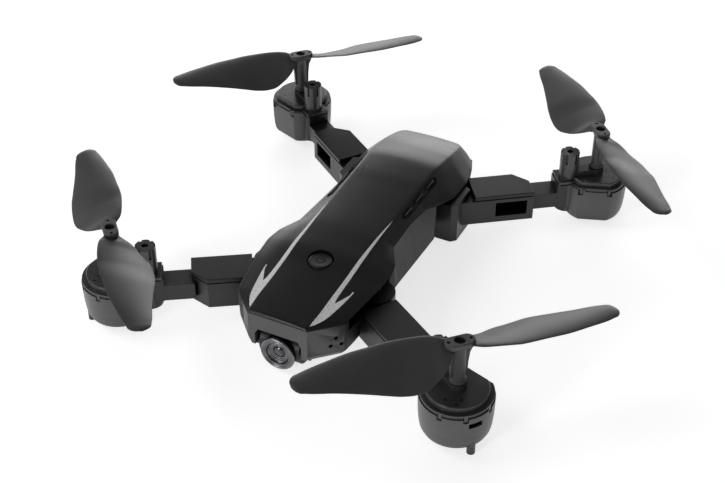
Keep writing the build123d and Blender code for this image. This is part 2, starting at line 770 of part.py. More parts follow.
def arm_cover(arm):
    row = arm.row
    bottom = row.top - COVER_T
    with BuildPart() as cover:
        with BuildSketch(arm.plane(bottom)):
            with BuildLine():
                Polyline(*arm.wide_outline(arm.pivot_u + row.knuckle_radius + 0.5), close=True)
            make_face()
            with Locations((arm.pivot_u, arm.fold * arm.pivot_v)):
                Circle(row.knuckle_radius + 0.25, mode=Mode.SUBTRACT)
        extrude(amount=COVER_T)
        # two locating ribs
        with BuildSketch(arm.plane(bottom - 1.6)):
            with BuildLine():
                Polyline(*arm.box(-44, -33.5, -3.2, -2.2), close=True)
            make_face()
            with BuildLine():
                Polyline(*arm.box(-44, -30, 2.6, 3.6), close=True)
            make_face()
        extrude(amount=1.7)
    return cover.part


def pod_cap(arm):
    sleeve_r, sleeve_top = 3.6, 29.9
    with BuildPart() as cap:
        # rim
        with BuildSketch(arm.plane(CAP_BOTTOM)):
            with BuildLine():
                Polyline(*arm.local(POD_CAP), close=True)
            make_face()
        extrude(amount=0.5)
        # raised middle
        for z, share in CAP_PROFILE:
            with BuildSketch(arm.plane(z)):
                with BuildLine():
                    Polyline(*arm.local(POD_CAP, share), close=True)
                make_face()
        loft(ruled=True)
        # lid of the neck
        with BuildSketch(arm.plane(CAP_BOTTOM)):
            with BuildLine():
                Polyline(*arm.box(-15.8, 0, -4.6, 4.6), close=True)
            make_face()
        extrude(amount=CAP_TOP - CAP_BOTTOM)
        # motor sleeve
        with BuildSketch(arm.plane(CAP_BOTTOM)):
            with Locations((MOTOR_U, 0)):
                Circle(sleeve_r)
        extrude(amount=sleeve_top - CAP_BOTTOM)
        # bridge to the shaft
        with BuildSketch(arm.plane(CAP_TOP - 0.1)):
            with BuildLine():
                Polyline(*arm.box(MOTOR_U, 1.6, -2.6, 2.6), close=True)
            make_face()
            Circle(2.9)
        extrude(amount=BRIDGE_TOP - CAP_TOP + 0.1)
        # clips
        for angle in CLIP_ANGLES:
            reach = POD_R
            if angle in FLAT_CLIPS:
                reach = POD_FLAT / cos(radians(angle - FLAT_ANGLE))
            with BuildSketch(arm.spoke_plane(angle, CUP_TOP - 2.1)):
                with Locations((reach - 0.75, 0)):
                    Rectangle(0.9, 1.3)
            extrude(amount=2.4)
        # motor bore, with a vent hole and slots at the top
        with BuildSketch(arm.plane(CUP_TOP - 1)):
            with Locations((MOTOR_U, 0)):
                Circle(MOTOR_R + 0.02)
        extrude(amount=MOTOR_TOP + 0.05 - CUP_TOP + 1, mode=Mode.SUBTRACT)
        with BuildSketch(arm.plane(28)):
            with Locations((MOTOR_U, 0)):
                Circle(1.3)
        extrude(amount=5, mode=Mode.SUBTRACT)
        for k in range(6):
            angle = radians(30 + 60 * k)
            slot_plane = Plane(
                origin=(*arm.motor, 25.9), x_dir=(cos(angle), sin(angle), 0), z_dir=(0, 0, 1)
            )
            with BuildSketch(slot_plane):
                with Locations((sleeve_r, 0)):
                    Rectangle(1.2, 0.9)
            extrude(amount=5, mode=Mode.SUBTRACT)
        # seat of the upper bush, and the shaft's hole below it
        with BuildSketch(arm.plane(BUSH_SEAT_Z)):
            Circle(BUSH_R + SLIDE_FIT)
        extrude(amount=5, mode=Mode.SUBTRACT)
        with BuildSketch(arm.plane(CUP_TOP - 1)):
            Circle(1.1)
        extrude(amount=10, mode=Mode.SUBTRACT)
        # dimples
        with BuildSketch(arm.plane(PLATEAU_TOP - 0.4)):
            with Locations(*arm.local([(6.2, -2.6), (7.2, -5.1), (3.4, -6.8)])):
                Circle(0.5)
        extrude(amount=2, mode=Mode.SUBTRACT)
    return cap.part


def motor(arm):
    with BuildPart() as can:
        with BuildSketch(arm.plane(MOTOR_BOTTOM)):
            with Locations((MOTOR_U, 0)):
                Circle(MOTOR_R)
        extrude(amount=MOTOR_TOP - MOTOR_BOTTOM)
        # collar
        with BuildSketch(arm.plane(MOTOR_BOTTOM - 0.6)):
            with Locations((MOTOR_U, 0)):
                Circle(1.2)
        extrude(amount=0.7)
        # bore for the pinion's stem
        with BuildSketch(arm.plane(9.0)):
            with Locations((MOTOR_U, 0)):
                Circle(0.55)
        extrude(amount=4.6, mode=Mode.SUBTRACT)
    return can.part


def gear_points(teeth, phase, centre):
    """Trapezoid teeth, thinner than half a pitch so that the pair runs with backlash."""
    pitch_r = teeth * MODULE / 2
    tip_r, root_r = pitch_r + 0.72 * MODULE, pitch_r - 1.0 * MODULE
    pitch = 2 * pi / teeth
    # (radius, share of a pitch from the tooth's middle)
    tooth = [
        (root_r, -0.30), (pitch_r, -0.20), (tip_r, -0.10),
        (tip_r, 0.10), (pitch_r, 0.20), (root_r, 0.30),
    ]
    polar = [(r, phase + (k + share) * pitch) for k in range(teeth) for r, share in tooth]
    return [(centre[0] + r * cos(a), centre[1] + r * sin(a)) for r, a in polar]


# The gears mesh on the line of centres: a wheel tooth stands there, and a pinion gap.
def pinion(arm):
    bottom = 6.3
    phase = radians(arm.angle + 180) + pi + pi / PINION_TEETH
    with BuildPart() as wheel:
        with BuildSketch(Plane.XY.offset(bottom)):
            with BuildLine():
                Polyline(*gear_points(PINION_TEETH, phase, arm.motor), close=True)
            make_face()
        extrude(amount=2.6)
        # stem up into the motor
        with BuildSketch(Plane.XY.offset(bottom)):
            with Locations(arm.motor):
                Circle(0.5)
        extrude(amount=6.9)
    return wheel.part


def gear(arm):
    hub_bottom, hole_ring_r = 6.0, 4.9
    holes = [
        (arm.hub[0] + hole_ring_r * cos(k * pi / 3), arm.hub[1] + hole_ring_r * sin(k * pi / 3))
        for k in range(6)
    ]
    with BuildPart() as wheel:
        with BuildSketch(Plane.XY.offset(6.6)):
            with BuildLine():
                Polyline(
                    *gear_points(GEAR_TEETH, radians(arm.angle + 180), arm.hub), close=True
                )
            make_face()
        extrude(amount=2.0)
        with BuildSketch(Plane.XY.offset(hub_bottom)):
            with Locations(arm.hub):
                Circle(2.2)
        extrude(amount=5.0)
        # six round holes in the web
        with BuildSketch(Plane.XY.offset(hub_bottom)):
            with Locations(*holes):
                Circle(1.35)
        extrude(amount=4, mode=Mode.SUBTRACT)
        # shaft bore
        with BuildSketch(Plane.XY.offset(5.0)):
            with Locations(arm.hub):
                Circle(SHAFT_R + SLIDE_FIT)
        extrude(amount=8, mode=Mode.SUBTRACT)
    return wheel.part


def shaft(arm):
    with BuildPart() as rod:
        with BuildSketch(Plane.XY.offset(SHAFT_BOTTOM)):
            with Locations(arm.hub):
                Circle(SHAFT_R)
        extrude(amount=SHAFT_TOP - SHAFT_BOTTOM)
    return rod.part


def bushes(arm):
    with BuildPart() as pair:
        for seat_z, height in ((POD_FLOOR, 1.8), (BUSH_SEAT_Z, 1.6)):
            with BuildSketch(Plane.XY.offset(seat_z + 0.02)):
                with Locations(arm.hub):
                    Circle(BUSH_R)
                    Circle(SHAFT_R + 0.05, mode=Mode.SUBTRACT)
            extrude(amount=height)
    return pair.part


def blade_section(leading, trailing, leading_z, trailing_z, thickness):
    """Six-sided section, thickest and lifted by 0.5 in the middle."""
    middle, middle_z = (leading + trailing) / 2, (leading_z + trailing_z) / 2 + 0.5
    return [
        (leading, leading_z + 0.22), (middle, middle_z + thickness / 2),
        (trailing, trailing_z + 0.2), (trailing, trailing_z - 0.2),
        (middle, middle_z - thickness / 2), (leading, leading_z - 0.22),
    ]


def propeller(arm):
    hub_x, hub_y = arm.hub
    slot_dir = (cos(arm.blade_angle), sin(arm.blade_angle), 0)
    with BuildPart() as prop:
        # hub: flange, column, and a slot-shaped head along the blades
        with BuildSketch(Plane.XY.offset(PROP_BOTTOM)):
            with Locations(arm.hub):
                Circle(2.8)
        extrude(amount=1.5)
        with BuildSketch(Plane.XY.offset(PROP_BOTTOM)):
            with Locations(arm.hub):
                Circle(2.25)
        extrude(amount=15.0)
        with BuildSketch(Plane(origin=(*arm.hub, PROP_SLOT_Z), x_dir=slot_dir, z_dir=(0, 0, 1))):
            SlotOverall(10.2, 5.2)
        extrude(amount=PROP_TOP - PROP_SLOT_Z)
        # two blades
        for turn in (0, pi):
            c, s = cos(arm.blade_angle + turn), sin(arm.blade_angle + turn)
            for radius, *station in BLADE:
                across = Plane(
                    origin=(hub_x + radius * c, hub_y + radius * s, 0),
                    x_dir=(-s, c, 0),
                    z_dir=(c, s, 0),
                )
                with BuildSketch(across):
                    with BuildLine():
                        Polyline(*blade_section(*station), close=True)
                    make_face()
            loft(ruled=True)
        # screw recess, screw hole and the shaft's bore
        with BuildSketch(Plane.XY.offset(37.3)):
            with Locations(arm.hub):
                Circle(1.7)
        extrude(amount=5, mode=Mode.SUBTRACT)
        with BuildSketch(Plane.XY.offset(33.0)):
            with Locations(arm.hub):
                Circle(0.56)
        extrude(amount=6, mode=Mode.SUBTRACT)
        with BuildSketch(Plane.XY.offset(20)):
            with Locations(arm.hub):
                Circle(SHAFT_R + SLIDE_FIT)
        extrude(amount=SHAFT_TOP + 0.05 - 20, mode=Mode.SUBTRACT)
    return prop.part


def propeller_screw(arm):
    with BuildPart() as screw:
        with BuildSketch(Plane.XY.offset(37.32)):
            with Locations(arm.hub):
                Circle(1.5)
        extrude(amount=0.9)
        with BuildSketch(Plane.XY.offset(33.4)):
            with Locations(arm.hub):
                Circle(0.54)
        extrude(amount=4.0)
        # cross recess
        with BuildSketch(Plane.XY.offset(37.8)):
            with Locations(arm.hub):
                Rectangle(1.9, 0.42)
                Rectangle(0.42, 1.9)
        extrude(amount=1.0, mode=Mode.SUBTRACT)
    return screw.part


def light_lens(arm):
    with BuildPart() as lens:
        with BuildSketch(arm.plane(arm.row.narrow_bottom - 1.1)):
            with Locations((LIGHT_U, 0)):
                Circle(1.7)
        extrude(amount=1.95)
        # lower edge
        chamfer(lens.edges().filter_by(GeomType.CIRCLE).group_by(Axis.Z)[0], length=0.4)
    return lens.part


# ---------------------------------------------------------------- build and export
BODY_PIECES = [
    top_shell, lower_shell, nose_fascia, camera_housing, camera_lens_ring, camera_lens,
    bottom_camera, main_board, tact_switch, power_button, battery_pack, shell_screws, hinge_pins,
]
ARM_PIECES = {
    "arm": arm_body, "arm_cover": arm_cover, "pod_cap": pod_cap, "motor": motor,
    "pinion": pinion, "gear": gear, "shaft": shaft, "bushes": bushes,
    "propeller": propeller, "propeller_screw": propeller_screw, "light_lens": light_lens,
}
ARMS = [
    Arm("front_left", FRONT, side=1, blade_angle=45.7),
    Arm("front_right", FRONT, side=-1, blade_angle=-44.7),
    Arm("rear_left", REAR, side=1, blade_angle=-47.2),
    Arm("rear_right", REAR, side=-1, blade_angle=47.0),
]

for build in BODY_PIECES:
    save(build(), build.__name__)
for arm in ARMS:
    for piece_name, build in ARM_PIECES.items():
        save(build(arm), f"{arm.name}_{piece_name}")
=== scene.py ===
"""A small four-rotor drone with a camera in its nose.

The nose points to -Y, the drone's left side is +X and Z is up, with the floor at z = 0.
The pieces are modelled in millimetres and stored in metres. Material and modifier sizes
are in metres.
"""
import json
import math

import bmesh
import bpy
from mathutils import Matrix, Vector


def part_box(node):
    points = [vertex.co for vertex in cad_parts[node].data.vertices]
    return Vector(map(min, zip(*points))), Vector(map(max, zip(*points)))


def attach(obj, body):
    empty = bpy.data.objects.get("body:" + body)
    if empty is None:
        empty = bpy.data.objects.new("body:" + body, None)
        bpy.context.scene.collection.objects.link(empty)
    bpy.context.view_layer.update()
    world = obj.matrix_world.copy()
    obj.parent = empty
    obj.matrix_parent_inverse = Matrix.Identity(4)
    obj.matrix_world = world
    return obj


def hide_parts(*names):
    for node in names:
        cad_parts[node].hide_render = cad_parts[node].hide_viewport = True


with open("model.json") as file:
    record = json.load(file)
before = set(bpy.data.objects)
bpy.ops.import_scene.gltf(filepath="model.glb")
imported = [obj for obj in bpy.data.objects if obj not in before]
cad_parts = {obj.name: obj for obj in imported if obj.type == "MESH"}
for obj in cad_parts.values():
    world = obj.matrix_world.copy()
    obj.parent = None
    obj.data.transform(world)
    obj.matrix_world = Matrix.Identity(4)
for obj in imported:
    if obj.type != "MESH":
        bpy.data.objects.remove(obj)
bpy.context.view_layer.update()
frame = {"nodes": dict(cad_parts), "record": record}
NODES = frame["nodes"]
scene = bpy.context.scene

MILLI = 0.001
HUB_X, HUB_Y = 65.0, 67.6  # the rotor axes stand at (+-HUB_X, +-HUB_Y)


# ------------------------------------------------------------------ shader helpers
def wire(tree, node, inputs):
    """Links a socket, or writes a value, into each named or numbered input of a node."""
    for key, value in inputs.items():
        socket = node.inputs[key]
        if isinstance(value, bpy.types.NodeSocket):
            tree.links.new(value, socket)
        elif socket.type == "RGBA":
            socket.default_value = (*value, 1)
        else:
            socket.default_value = value


def add_node(tree, kind, inputs=None, **settings):
    node = tree.nodes.new("ShaderNode" + kind)
    for key, value in settings.items():
        setattr(node, key, value)
    wire(tree, node, inputs or {})
    return node


def new_material(name):
    material = bpy.data.materials.new(name)
    material.use_nodes = True
    tree = material.node_tree
    tree.nodes.clear()
    output = add_node(tree, "OutputMaterial")
    bsdf = add_node(tree, "BsdfPrincipled")
    tree.links.new(bsdf.outputs[0], output.inputs[0])
    return material, tree, bsdf


def mix_color(tree, factor, first, second):
    inputs = {0: factor, 6: first, 7: second}
    return add_node(tree, "Mix", inputs, data_type="RGBA", clamp_factor=True).outputs[2]


def mix_value(tree, factor, first, second):
    inputs = {0: factor, 2: first, 3: second}
    return add_node(tree, "Mix", inputs, data_type="FLOAT", clamp_factor=True).outputs[0]


def maths(tree, operation, *values):
    return add_node(tree, "Math", dict(enumerate(values)), operation=operation).outputs[0]


def noise(tree, place, scale, detail, rough=0.5, distortion=0.0):
    return add_node(tree, "TexNoise", {
        "Vector": place, "Scale": scale, "Detail": detail,
        "Roughness": rough, "Distortion": distortion,
    }).outputs[0]


def ramp(tree, value, span, to=(0.0, 1.0)):
    """Maps the span onto the range `to`, clamped at both ends."""
    inputs = dict(enumerate((value, *span, *to)))
    return add_node(tree, "MapRange", inputs, clamp=True).outputs[0]


def coords(tree):
    return add_node(tree, "TexCoord").outputs["Object"]


def add_bump(tree, bsdf, height, strength, distance, normal=None):
    inputs = {"Strength": strength, "Distance": distance, "Height": height}
    if normal:
        inputs["Normal"] = normal
    bump = add_node(tree, "Bump", inputs)
    wire(tree, bsdf, {"Normal": bump.outputs[0]})


def tinted(color, factor, lift=0.0):
    return tuple(min(1.0, c * factor + lift) for c in color)


def edge_mask(tree, radius):
    """1 along convex and concave edges, 0 on open faces; also the rounded normal."""
    rounded = add_node(tree, "Bevel", {"Radius": radius}, samples=4).outputs[0]
    flat = add_node(tree, "NewGeometry").outputs["Normal"]
    dot = add_node(tree, "VectorMath", {0: rounded, 1: flat}, operation="DOT_PRODUCT")
    return ramp(tree, dot.outputs["Value"], span=(0.975, 0.84)), rounded


def pod_mask(tree, place):
    """1 within a pod's radius of the nearest rotor axis."""
    fade_outer, fade_inner = 0.0135, 0.0129
    split = add_node(tree, "SeparateXYZ", {0: place})
    squares = []
    for axis, hub in enumerate((HUB_X, HUB_Y)):
        size = maths(tree, "ABSOLUTE", split.outputs[axis])
        offset = maths(tree, "SUBTRACT", size, hub * MILLI)
        squares.append(maths(tree, "POWER", offset, 2.0))
    return ramp(tree, maths(tree, "ADD", *squares), span=(fade_outer ** 2, fade_inner ** 2))


def painted_crease_shade(tree):
    """Painted shade: low in creases and under overhangs, where little light arrives."""
    node = add_node(tree, "AmbientOcclusion", {"Distance": 0.011}, samples=4)
    return ramp(tree, node.outputs["AO"], span=(0.25, 0.85))


# ------------------------------------------------------------------ materials
def moulded(name, color, rough, grain=0.5, grain_scale=2600.0, wear=0.35, wear_color=None,
            edge=0.00022, coat=0.0, spec=0.3, flow=0.5, pod_reflection_tone=None):
    """Injection-moulded plastic: fine spark-eroded grain, slow tone drift from the melt
    flow, finger-polished patches, edges that are slightly lighter and glossier where
    the texture has worn off, and painted shade in creases and under overhangs. An optional
    second tone, lighter around the four rotor axes, is a painted reflection on the pods."""
    material, tree, bsdf = new_material(name)
    place = coords(tree)
    tone = noise(tree, place, scale=34.0, detail=3.0, rough=0.55, distortion=0.6)
    cloud = noise(tree, place, scale=9.0, detail=2.0)
    fine = noise(tree, place, scale=grain_scale, detail=2.0, rough=0.6)
    coarse = noise(tree, place, scale=grain_scale * 0.22, detail=2.0)
    scuff = noise(tree, place, scale=420.0, detail=4.0, rough=0.7, distortion=1.4)
    edges, rounded = edge_mask(tree, edge)

    darker, lighter = 1 - 0.28 * flow, 1 + 0.32 * flow  # tone drift
    base = mix_color(tree, ramp(tree, tone, span=(0.3, 0.7)),
                     tinted(color, darker), tinted(color, lighter, lift=0.002))
    # painted reflection: a lighter tone within a pod's radius of each rotor axis stands in for the
    # bright floor mirrored in the pods
    if pod_reflection_tone:
        near = pod_mask(tree, place)
        painted_pod_reflection = mix_color(tree, ramp(tree, tone, span=(0.3, 0.7)),
                             tinted(pod_reflection_tone, darker), tinted(pod_reflection_tone, lighter))
        base = mix_color(tree, near, base, painted_pod_reflection)
    worn = maths(tree, "MULTIPLY", edges,
                 ramp(tree, scuff, span=(0.38, 0.66), to=(0.15, wear)))
    base = mix_color(tree, worn, base, wear_color or tinted(color, 2.2, lift=0.02))
    # painted shade: the base colour falls to about a third of itself in creases and under
    # overhangs
    unshaded = painted_crease_shade(tree)
    base = mix_color(tree, unshaded, tinted(color, 0.35), base)

    gloss = ramp(tree, cloud, span=(0.3, 0.7), to=(rough - 0.06, rough + 0.06))
    scuffed = ramp(tree, scuff, span=(0.45, 0.75), to=(0.0, 0.35))
    gloss = mix_value(tree, scuffed, gloss, min(1.0, rough + 0.2))
    gloss = mix_value(tree, worn, gloss, max(0.12, rough - 0.16))
    # the same painted shade turns down the specular and the coat in those places
    wire(tree, bsdf, {
        "Base Color": base,
        "Roughness": gloss,
        "Specular IOR Level": mix_value(tree, unshaded, spec * 0.12, spec),
        "Coat Weight": mix_value(tree, unshaded, 0.0, coat),
        "Coat Roughness": 0.2,
    })
    add_bump(tree, bsdf, maths(tree, "ADD", fine, coarse), strength=grain,
             distance=0.00003, normal=rounded)
    return material


def metal(name, color, rough, scale=900.0, stretch=(1, 1, 14)):
    """Turned or drawn metal: fine lay lines, dull patches and brighter rubbed edges."""
    material, tree, bsdf = new_material(name)
    place = coords(tree)
    stretched = add_node(tree, "Mapping", {"Vector": place, "Scale": stretch}).outputs[0]
    lay = noise(tree, stretched, scale=scale, detail=2.0)
    cloud = noise(tree, place, scale=120.0, detail=4.0, rough=0.6, distortion=0.5)
    edges, rounded = edge_mask(tree, radius=0.00012)
    base = mix_color(tree, ramp(tree, cloud, span=(0.35, 0.72)), color, tinted(color, 0.55))
    rubbed = ramp(tree, edges, span=(0.0, 1.0), to=(0.0, 0.6))
    wire(tree, bsdf, {
        "Base Color": mix_color(tree, rubbed, base, tinted(color, 1.3)),
        "Metallic": 1.0,
        "Roughness": ramp(tree, lay, span=(0.3, 0.7), to=(rough - 0.07, rough + 0.12)),
    })
    add_bump(tree, bsdf, lay, strength=0.35, distance=0.00002, normal=rounded)
    return material


# Keyed by material slot; lip and mark are for added details, recess is used by none.
MATERIALS = {
    "shell": moulded("satin_black_shell", (0.0095, 0.0098, 0.0104), rough=0.3, grain=0.22,
                     grain_scale=3200, wear=0.22, coat=0.06, spec=0.32),
    "shell_lower": moulded("textured_black_shell", (0.0105, 0.0107, 0.0112), rough=0.46,
                           grain=0.55, grain_scale=2200),
    "fascia": moulded("charcoal_fascia", (0.07, 0.0705, 0.0715), rough=0.42, grain=0.3,
                      grain_scale=2800, wear=0.4),
    # the arm's pod ends carry a painted reflection, a lighter tone around each rotor axis
    "arm": moulded("satin_black_arm", (0.0125, 0.0127, 0.0132), rough=0.34, spec=0.42,
                   pod_reflection_tone=(0.062, 0.0627, 0.064), grain=0.35, grain_scale=2500, wear=0.4),
    "arm_cover": moulded("satin_black_cover", (0.0145, 0.0147, 0.0152), rough=0.36,
                         grain=0.25, grain_scale=3000, wear=0.4),
    "pod_cap": moulded("dark_grey_cap", (0.042, 0.0424, 0.0435), rough=0.25, spec=0.5,
                       grain=0.3, grain_scale=2800, wear=0.4),
    "propeller": moulded("flexible_grey_blade", (0.05, 0.0505, 0.0515), rough=0.4,
                         spec=0.45, grain=0.2, grain_scale=3000, wear=0.3, edge=0.00018,
                         flow=0.35),
    "button": moulded("button_plastic", (0.0105, 0.0108, 0.0114), rough=0.36, grain=0.25,
                      grain_scale=3000, wear=0.5),
    "battery": moulded("battery_case", (0.014, 0.0142, 0.015), rough=0.5, grain=0.9,
                       grain_scale=1600, wear=0.4),
    "camera_body": moulded("camera_body_plastic", (0.014, 0.0142, 0.015), rough=0.36,
                           grain=0.25, wear=0.4),
    "gear": moulded("natural_nylon", (0.62, 0.6, 0.54), rough=0.42, grain=0.3, wear=0.3,
                    wear_color=(0.75, 0.73, 0.66), flow=0.12),
    "light_lens": moulded("milky_light_cover", (0.72, 0.74, 0.72), rough=0.25, grain=0.15,
                          wear=0.2, wear_color=(0.9, 0.9, 0.9), flow=0.1),
    "motor_can": metal("drawn_steel_can", (0.52, 0.52, 0.53), rough=0.26),
    "hardware": metal("zinc_plated_steel", (0.2, 0.2, 0.205), rough=0.32),
    "screw_black": metal("black_oxide_steel", (0.045, 0.045, 0.047), rough=0.4),
    "brass": metal("turned_brass", (0.66, 0.47, 0.2), rough=0.28),
    "switch": metal("stamped_switch_cover", (0.55, 0.55, 0.55), rough=0.3),
    "lens_ring": metal("anodised_lens_ring", (0.17, 0.172, 0.18), rough=0.34,
                       stretch=(1, 1, 1), scale=2000),
    "board": moulded("solder_mask", (0.008, 0.05, 0.022), rough=0.3, grain=0.3,
                     grain_scale=900, wear=0.2),
    "lens_glass": moulded("lens_glass_dark", (0.004, 0.004, 0.007), rough=0.06, grain=0.02,
                          wear=0.1, coat=1.0, spec=0.5),
    # painted highlight: the louvre lips are shell plastic, given a lighter copy of it for the
    # light they catch
    "lip": moulded("louvre_lip_painted_highlight", (0.03, 0.0305, 0.0315), rough=0.34, grain=0.2,
                   grain_scale=3200, wear=0.5),
    "mark": moulded("dark_print", (0.003, 0.003, 0.003), rough=0.6, grain=0.1, wear=0.05,
                    spec=0.1),
    # painted shade: a near-black lining meant for the louvre channel, not used by any piece
    "recess": moulded("painted_recess_shade", (0.0016, 0.0016, 0.0017), rough=0.8, grain=0.1,
                      wear=0.02, spec=0.05),
}


# ------------------------------------------------------------------ CAD pieces
def finish_cad(part, slot, width):
    """Gives a CAD piece its material, clean flats and rounded edges."""
    part.data.materials.clear()
    part.data.materials.append(MATERIALS[slot])
    part.modifiers.new("weld", "WELD").merge_threshold = 0.000004
    flatten = part.modifiers.new("flat", "DECIMATE")
    flatten.decimate_type = "DISSOLVE"
    flatten.angle_limit = math.radians(0.6)
    rounding = part.modifiers.new("round", "BEVEL")
    rounding.width = width
    rounding.segments = 2
    rounding.limit_method = "ANGLE"
    rounding.angle_limit = math.radians(28)
    rounding.use_clamp_overlap = True
    rounding.harden_normals = False
    part.modifiers.new("normals", "WEIGHTED_NORMAL").keep_sharp = True


cad_slots = {entry["node"]: entry["material_slot"] for entry in frame["record"]["subparts"]}
for node_name, node_part in NODES.items():
    finish_cad(node_part, cad_slots[node_name],
               width=0.00009 if node_name == "nose_fascia" else 0.00022)


# ------------------------------------------------------------------ curves through tables
def monotone(xs, ys):
    """Monotone cubic through the points, so that nothing overshoots between them."""
    count = len(xs)
    step = [xs[i + 1] - xs[i] for i in range(count - 1)]
    slope = [(ys[i + 1] - ys[i]) / step[i] for i in range(count - 1)]
    tangent = [slope[0]] + [0.0] * (count - 2) + [slope[-1]]
    for i in range(1, count - 1):
        if slope[i - 1] * slope[i] > 0:
            before, after = 2 * step[i] + step[i - 1], step[i] + 2 * step[i - 1]
            tangent[i] = (before + after) / (before / slope[i - 1] + after / slope[i])

    def curve(x):
        x = min(max(x, xs[0]), xs[-1])
        k = 0
        while k < count - 2 and x > xs[k + 1]:
            k += 1
        t = (x - xs[k]) / step[k]
        return (ys[k] * (1 + 2 * t) * (1 - t) ** 2
                + step[k] * tangent[k] * t * (1 - t) ** 2
                + ys[k + 1] * t * t * (3 - 2 * t)
                + step[k] * tangent[k + 1] * t * t * (t - 1))

    return curve


def straight(xs, ys):
    """Straight lines through the points, held level beyond both ends."""
    def curve(x):
        x = min(max(x, xs[0]), xs[-1])
        for x0, x1, y0, y1 in zip(xs[:-1], xs[1:], ys[:-1], ys[1:]):
            if x <= x1:
                return y0 + (y1 - y0) * (x - x0) / (x1 - x0)

    return curve


def softened(curve, window, low, high):
    """The curve averaged over a window, which rounds its corners a little."""
    def average(x):
        taps = [-1, -0.6, -0.25, 0, 0.25, 0.6, 1]
        fit = min(1.0, (x - low) / window, (high - x) / window)
        return sum(curve(x + t * window * fit) for t in taps) / len(taps)

    return average


# ------------------------------------------------------------------ mesh helpers
def link_object(name, data):
    part = bpy.data.objects.new(name, data)
    scene.collection.objects.link(part)
    return part


def shade(mesh, sharp=32):
    """Smooth faces; edges steeper than `sharp` degrees stay sharp, 0 leaves them alone."""
    for face in mesh.polygons:
        face.use_smooth = True
    if sharp:
        mesh.set_sharp_from_angle(angle=math.radians(sharp))
    mesh.update()


def add_mesh(name, verts, faces, sharp=32):
    mesh = bpy.data.meshes.new(name)
    mesh.from_pydata([(x * MILLI, y * MILLI, z * MILLI) for x, y, z in verts], [], faces)
    mesh.validate()
    work = bmesh.new()
    work.from_mesh(mesh)
    bmesh.ops.remove_doubles(work, verts=work.verts, dist=1e-7)
    bmesh.ops.recalc_face_normals(work, faces=work.faces)
    work.to_mesh(mesh)
    work.free()
    shade(mesh, sharp)
    return link_object(name, mesh)


def grid(rows, closed=True, cap=False):
    """Verts and faces of rows of points; closed joins each row's last point to its first."""
    n = len(rows[0])
    faces = []
    for i in range(len(rows) - 1):
        for j in range(n if closed else n - 1):
            a, b = i * n + j, i * n + (j + 1) % n
            faces.append((a, b, b + n, a + n))
    if cap:
        faces.append(tuple(range(n - 1, -1, -1)))
        faces.append(tuple(range((len(rows) - 1) * n, len(rows) * n)))
    return [point for row in rows for point in row], faces


def joined(grids):
    """Several (verts, faces) pairs as one."""
    verts, faces = [], []
    for more_verts, more_faces in grids:
        base = len(verts)
        verts += more_verts
        faces += [tuple(base + k for k in face) for face in more_faces]
    return verts, faces


def bridge(name, first, second):
    """Solid between two matching outlines."""
    n = len(first)
    faces = [tuple(range(n)), tuple(range(2 * n - 1, n - 1, -1))]
    faces += [(k, n + k, n + (k + 1) % n, (k + 1) % n) for k in range(n)]
    return add_mesh(name, first + second, faces)


def cylinder(name, y, radius, z0, z1, segments):
    """Upright cylinder on the middle plane."""
    n = segments
    angles = [2 * math.pi * k / n for k in range(n)]
    verts = [(radius * math.cos(a), y + radius * math.sin(a), z) for z in (z0, z1) for a in angles]
    faces = [tuple(range(n - 1, -1, -1)), tuple(range(n, 2 * n))]
    faces += [(k, (k + 1) % n, n + (k + 1) % n, n + k) for k in range(n)]
    return add_mesh(name, verts, faces)


def revolve(name, profile, segments, center=(0, 0, 0), forward=False, sharp=30):
    """Solid of revolution from (radius, height) points, which close on themselves or end
    on the axis. Height runs up, or towards -Y if forward."""
    angles = [2 * math.pi * k / segments for k in range(segments)]
    verts, faces = grid([[(r * math.cos(a), r * math.sin(a), h) for a in angles]
                         for r, h in profile])
    if forward:
        verts = [(x, -z, y) for x, y, z in verts]
    verts = [(x + center[0], y + center[1], z + center[2]) for x, y, z in verts]
    return add_mesh(name, verts, faces, sharp)


def apply_modifiers(part):
    """Bakes the part's modifiers into its mesh."""
    graph = bpy.context.evaluated_depsgraph_get()
    graph.update()
    mesh = bpy.data.meshes.new_from_object(
        part.evaluated_get(graph), preserve_all_data_layers=True, depsgraph=graph)
    part.modifiers.clear()
    old = part.data
    part.data = mesh
    bpy.data.meshes.remove(old)


def boolean(part, tools, operation="DIFFERENCE", sharp=32):
    for tool in tools:
        modifier = part.modifiers.new("b", "BOOLEAN")
        modifier.operation = operation
        modifier.solver = "EXACT"
        modifier.object = tool
    bpy.context.view_layer.update()
    apply_modifiers(part)
    for tool in tools:
        bpy.data.objects.remove(tool)
    shade(part.data, sharp)


def piece(part, slot, body, *replaced, material=None):
    """Gives a part its slot's material, or the one given, puts it on the body it rides on and
    hides the CAD pieces it replaces.
    """
    part.data.materials.clear()
    part.data.materials.append(material or MATERIALS[slot])
    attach(part, body)
    if replaced:
        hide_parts(*replaced)


